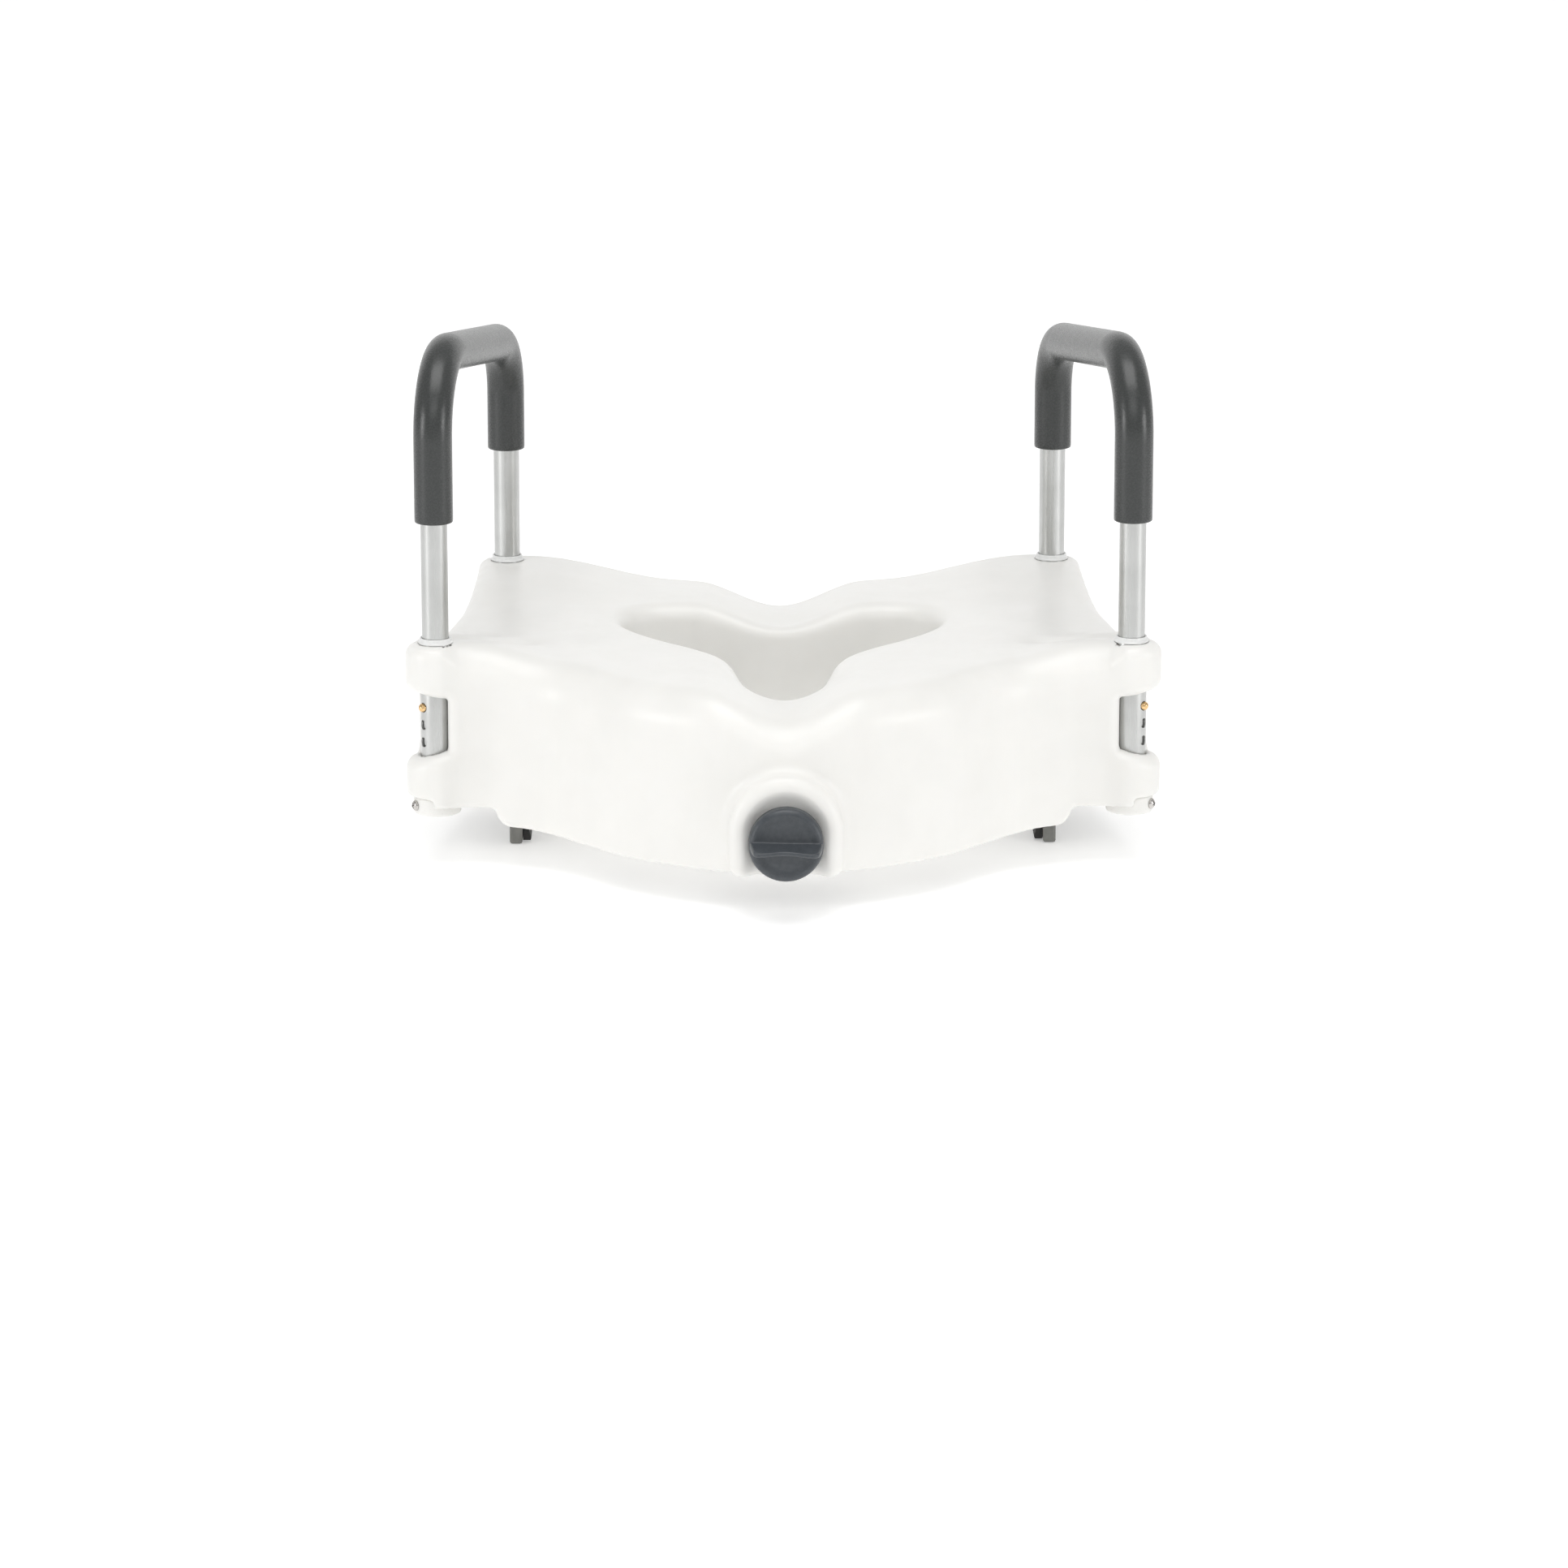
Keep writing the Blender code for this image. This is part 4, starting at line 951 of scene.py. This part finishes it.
def swept(name, path, outer, inner, end_r, segments=48, ripple=None):
    """A tube along a path, its ends closed with a rounded rim, its radius changed by ripple."""
    tangents = []
    for i in range(len(path)):
        tangents.append((path[min(i + 1, len(path) - 1)] - path[max(i - 1, 0)]).normalized())
    normal = tangents[0].orthogonal().normalized()
    frames = []
    for tangent in tangents:
        normal = (normal - tangent * normal.dot(tangent)).normalized()
        frames.append((normal.copy(), tangent.cross(normal)))
    length = [0.0]
    for a, b in zip(path, path[1:]):
        length.append(length[-1] + (b - a).length)
    rows = []

    def ring(i, radius, offset=0.0, rippled=False):
        row = []
        across, up = frames[i]
        for k in range(segments):
            angle = 2 * pi * k / segments
            outwards = across * cos(angle) + up * sin(angle)
            r = radius + (ripple(length[i], i, outwards) if ripple and rippled else 0.0)
            row.append(bm.verts.new(path[i] + tangents[i] * offset + outwards * r))
        rows.append(row)

    bm = bmesh.new()
    last = len(path) - 1
    steps = 4
    for k in range(steps):
        angle = k * pi / 2 / steps
        ring(0, outer - end_r * (1 - sin(angle)), end_r * (1 - cos(angle)))
    for i in range(1, last):
        ring(i, outer, 0.0, True)
    for k in reversed(range(steps)):
        angle = k * pi / 2 / steps
        ring(last, outer - end_r * (1 - sin(angle)), -end_r * (1 - cos(angle)))
    for i in reversed(range(len(path))):
        ring(i, inner)
    for row, following in zip(rows, rows[1:] + rows[:1]):
        for k in range(segments):
            j = (k + 1) % segments
            bm.faces.new((row[k], following[k], following[j], row[j]))
    return finished(name, bm, radians(50))


def foam_ripple(path):
    """Shallow folds on the inner side of the bends, where the foam is pressed together."""
    turns = []
    for i in range(len(path)):
        a = path[max(i - 1, 0)]
        b = path[min(i + 1, len(path) - 1)]
        turns.append((a + b) / 2 - path[i])
    strength = [t.length for t in turns]
    most = max(strength)

    def ripple(length, i, outwards):
        turn = turns[i]
        if strength[i] < most * 0.3:
            return 0.0
        facing = max(0.0, outwards.dot(turn.normalized()))
        fold = 0.5 - 0.5 * cos(2 * pi * length / 0.0085)
        return -0.0008 * facing ** 3 * fold

    return ripple


def make_arm(name, side):
    body = f"{name}_arm"
    tube = swept("tube", arm_path(side, ARM_END, ARM_END), ARM_R, ARM_INNER_R, 0.0003)
    for end in ENDS:
        leg = LEGS[end]
        bm = bmesh.new()
        bmesh.ops.create_cone(
            bm, cap_ends=True, segments=32, radius1=TUBE_HOLE_R, radius2=TUBE_HOLE_R, depth=0.008
        )
        hole = outward(side, BUTTON_ANGLE).to_matrix().to_4x4()
        hole.translation = Vector((side * leg[0], leg[1], BUTTON_Z))
        tube = boolean(tube, finished("hole", bm), hole @ Matrix.Translation((0, 0, 0.0095)))
    tube.shade_smooth()
    tube.set_sharp_from_angle(angle=radians(40))
    add_piece(f"tube_{name}", tube, body, ALUMINIUM, [f"arm_tube_{name}"])
    path = arm_path(side, GRIP_FRONT_Z, GRIP_REAR_Z, 0.0025)
    mesh = swept("foam", path, GRIP_R, ARM_R + 0.0002, 0.0012, 64, foam_ripple(path))
    grip = add_piece(f"grip_{name}", mesh, body, FOAM, [f"arm_grip_{name}"])


# ---------------------------------------------------------------- knob and clamp
def knob_field(x, y, z):
    """Disc with a round rim and a grip across it; y runs back from the face."""
    height = z - KNOB_Z
    radial = np.hypot(x, height)
    across = np.abs(x * cos(KNOB_TURN) - height * sin(KNOB_TURN))
    height = x * sin(KNOB_TURN) + height * cos(KNOB_TURN)
    dish = 0.0008 * smooth_step((0.0235 - radial) / 0.0070)
    disc = meet(radial - KNOB_R, KNOB_FACE + dish - y, 0.0044)
    disc = meet(disc, y - KNOB_BACK, 0.0008)
    front = BLADE_FRONT - 0.0045 * smooth_step(across / 0.020)
    depth = np.clip((KNOB_FACE - y) / 0.0195, 0, 1)
    thick = 0.0023 - 0.0011 * depth + 0.0004 * (across / 0.0225) ** 2
    blade = np.abs(height + 0.0004 + 0.0014 * depth) - thick
    ends = across - BLADE_HALF + 0.0030 * depth ** 2
    blade = meet(blade, meet(ends, front - y, 0.0042), 0.0012)
    blade = np.maximum(blade, y - KNOB_FACE - 0.004)
    grip = join(disc, blade, 0.0010)
    socket = np.maximum(radial - 0.0051, -0.1563 - y)
    return cut(grip, socket, 0.0003)


def make_knob():
    mesh = carved("knob_grip", knob_field, (-0.0275, -0.1795, KNOB_Z - 0.0275),
                  (0.0275, -0.1460, KNOB_Z + 0.0275), KNOB_CELL)
    add_piece("knob_grip", mesh, "knob", GREY, ["knob"])


def make_spindle():
    """Coarse screw thread on the clamp's spindle, with plain ends."""
    start, end = SPINDLE_ENDS
    steps_round, steps_along = 40, 240
    bm = bmesh.new()
    rows = []
    for i in range(steps_along + 1):
        y = start + (end - start) * i / steps_along
        row = []
        for k in range(steps_round):
            angle = 2 * pi * k / steps_round
            phase = ((y / THREAD_PITCH) - k / steps_round) % 1.0
            crest = min(1.0, max(0.0, 2.6 * (0.5 - abs(phase - 0.5)) - 0.15))
            depth = THREAD_DEPTH if THREAD_FROM < y < end - SPINDLE_CHAMFER else 0.0
            taper = max(0.0, (y - (end - SPINDLE_CHAMFER)) / SPINDLE_CHAMFER) * 0.0008
            r = SPINDLE_R - depth * (1 - crest) - taper
            row.append(bm.verts.new((r * sin(angle), y, KNOB_Z + r * cos(angle))))
        rows.append(row)
    for row, following in zip(rows, rows[1:]):
        for k in range(steps_round):
            j = (k + 1) % steps_round
            bm.faces.new((row[k], row[j], following[j], following[k]))
    bm.faces.new(rows[0])
    bm.faces.new(rows[-1])
    add_piece("spindle", finished("spindle", bm), "knob", STEEL, ["clamp_spindle"])


# ---------------------------------------------------------------- the rest of the frame
def dress_frame():
    """Materials for the CAD nodes that stay as they are."""
    looks = {
        "snap_spring": STEEL, "rest_pad": RUBBER, "bracket_screw": STEEL, "side_bracket": BRACKET,
        "bracket_pad": RUBBER, "guide_pin": STEEL, "spindle_bushing": NYLON,
        "spindle_washer": STEEL, "spindle_circlip": STEEL, "clamp_plate": GREY,
        "clamp_nut": BRASS, "clamp_pad": RUBBER,
    }
    for name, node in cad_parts.items():
        for start, material in looks.items():
            if name.startswith(start):
                node.data.materials.clear()
                node.data.materials.append(material)


# ---------------------------------------------------------------- stage, lights, camera
def make_stage():
    """Pale floor that curves up into a backdrop, clear when seen from its back."""
    half, depth, rise, bend, steps, below = 6.0, 3.0, 3.0, 1.2, 12, 0.0004
    line = [(-half, 0.0), (depth - bend, 0.0)]
    for k in range(1, steps + 1):
        angle = k * pi / 2 / steps
        line.append((depth - bend + bend * sin(angle), bend * (1 - cos(angle))))
    line.append((depth, rise))
    bm = bmesh.new()
    rows = []
    for y, z in line:
        rows.append([bm.verts.new((x, y, z - below)) for x in (-half, half)])
    for (a, b), (c, d) in zip(rows, rows[1:]):
        bm.faces.new((a, b, d, c))
    mesh = bpy.data.meshes.new("floor")
    bm.to_mesh(mesh)
    bm.free()
    mesh.shade_smooth()
    floor = bpy.data.objects.new("floor", mesh)
    bpy.context.scene.collection.objects.link(floor)
    paint = Paint("floor", (0.86, 0.86, 0.86), 0.6)
    output = paint.tree.nodes["Material Output"]
    clear = paint.tree.nodes.new("ShaderNodeBsdfTransparent")
    mix = paint.tree.nodes.new("ShaderNodeMixShader")
    faces = paint.tree.nodes.new("ShaderNodeNewGeometry")
    paint.set("Emission Color", (1, 1, 1, 1))
    paint.set("Emission Strength", 0.34)
    paint.tree.links.new(faces.outputs["Backfacing"], mix.inputs["Fac"])
    paint.tree.links.new(paint.shader.outputs["BSDF"], mix.inputs[1])
    paint.tree.links.new(clear.outputs["BSDF"], mix.inputs[2])
    paint.tree.links.new(mix.outputs["Shader"], output.inputs["Surface"])
    floor.data.materials.append(paint.material)


def add_area_light(name, place, size, energy):
    """A rectangular lamp aimed at the middle of the seat."""
    data = bpy.data.lights.new(name, "AREA")
    data.shape = "RECTANGLE"
    data.size, data.size_y = size
    data.energy = energy
    lamp = bpy.data.objects.new(name, data)
    bpy.context.scene.collection.objects.link(lamp)
    lamp.location = place
    lamp.rotation_mode = "QUATERNION"
    lamp.rotation_quaternion = (Vector((0, 0, 0.15)) - Vector(place)).to_track_quat("-Z", "Y")


def make_lights():
    world = bpy.data.worlds.new("studio")
    bpy.context.scene.world = world
    world.use_nodes = True
    world.node_tree.nodes["Background"].inputs["Color"].default_value = (1, 1, 1, 1)
    world.node_tree.nodes["Background"].inputs["Strength"].default_value = 0.46
    add_area_light("left_strip", (-2.4, -1.2, 0.60), (0.55, 0.9), 12)
    add_area_light("right_strip", (2.4, -1.2, 0.60), (0.55, 0.9), 11)
    add_area_light("front", (0.0, -2.6, 1.9), (2.2, 0.9), 9)
    add_area_light("top", (0.0, -0.6, 2.5), (2.2, 1.6), 31)
    bpy.context.scene.view_settings.view_transform = "Standard"


def make_camera():
    """Slightly from the left of the centre line, looking down by fourteen degrees."""
    yaw, pitch, distance = radians(0.65), radians(14.5), 4.9
    target = DATUM + Vector((0.0014, 0.100, -0.1304))
    forward = Vector((sin(yaw) * cos(pitch), cos(yaw) * cos(pitch), -sin(pitch)))
    data = bpy.data.cameras.new("camera")
    data.sensor_width = 36
    data.lens = 153.73
    data.clip_start = 0.05
    data.clip_end = 100
    camera = bpy.data.objects.new("camera", data)
    bpy.context.scene.collection.objects.link(camera)
    camera.location = target - forward * distance
    camera.rotation_mode = "QUATERNION"
    camera.rotation_quaternion = forward.to_track_quat("-Z", "Y")
    bpy.context.scene.camera = camera


WHITE = white_plastic()
COLLAR = white_collar()
ALUMINIUM = satin_aluminium()
FOAM = grey_foam()
GREY = grey_plastic()
BRACKET = bracket_plastic()
NYLON = pale_nylon()
BRASS = polished_metal("brass", (0.72, 0.47, 0.22), (0.86, 0.60, 0.32), 0.14, 0.28)
STEEL = polished_metal("plated_steel", (0.50, 0.48, 0.46), (0.64, 0.62, 0.60), 0.18, 0.34)
RUBBER = dark_rubber()

make_camera()
make_stage()
make_lights()
make_seat()
make_corners()
for side_name, sign in SIDES.items():
    make_arm(side_name, sign)
make_knob()
make_spindle()
dress_frame()
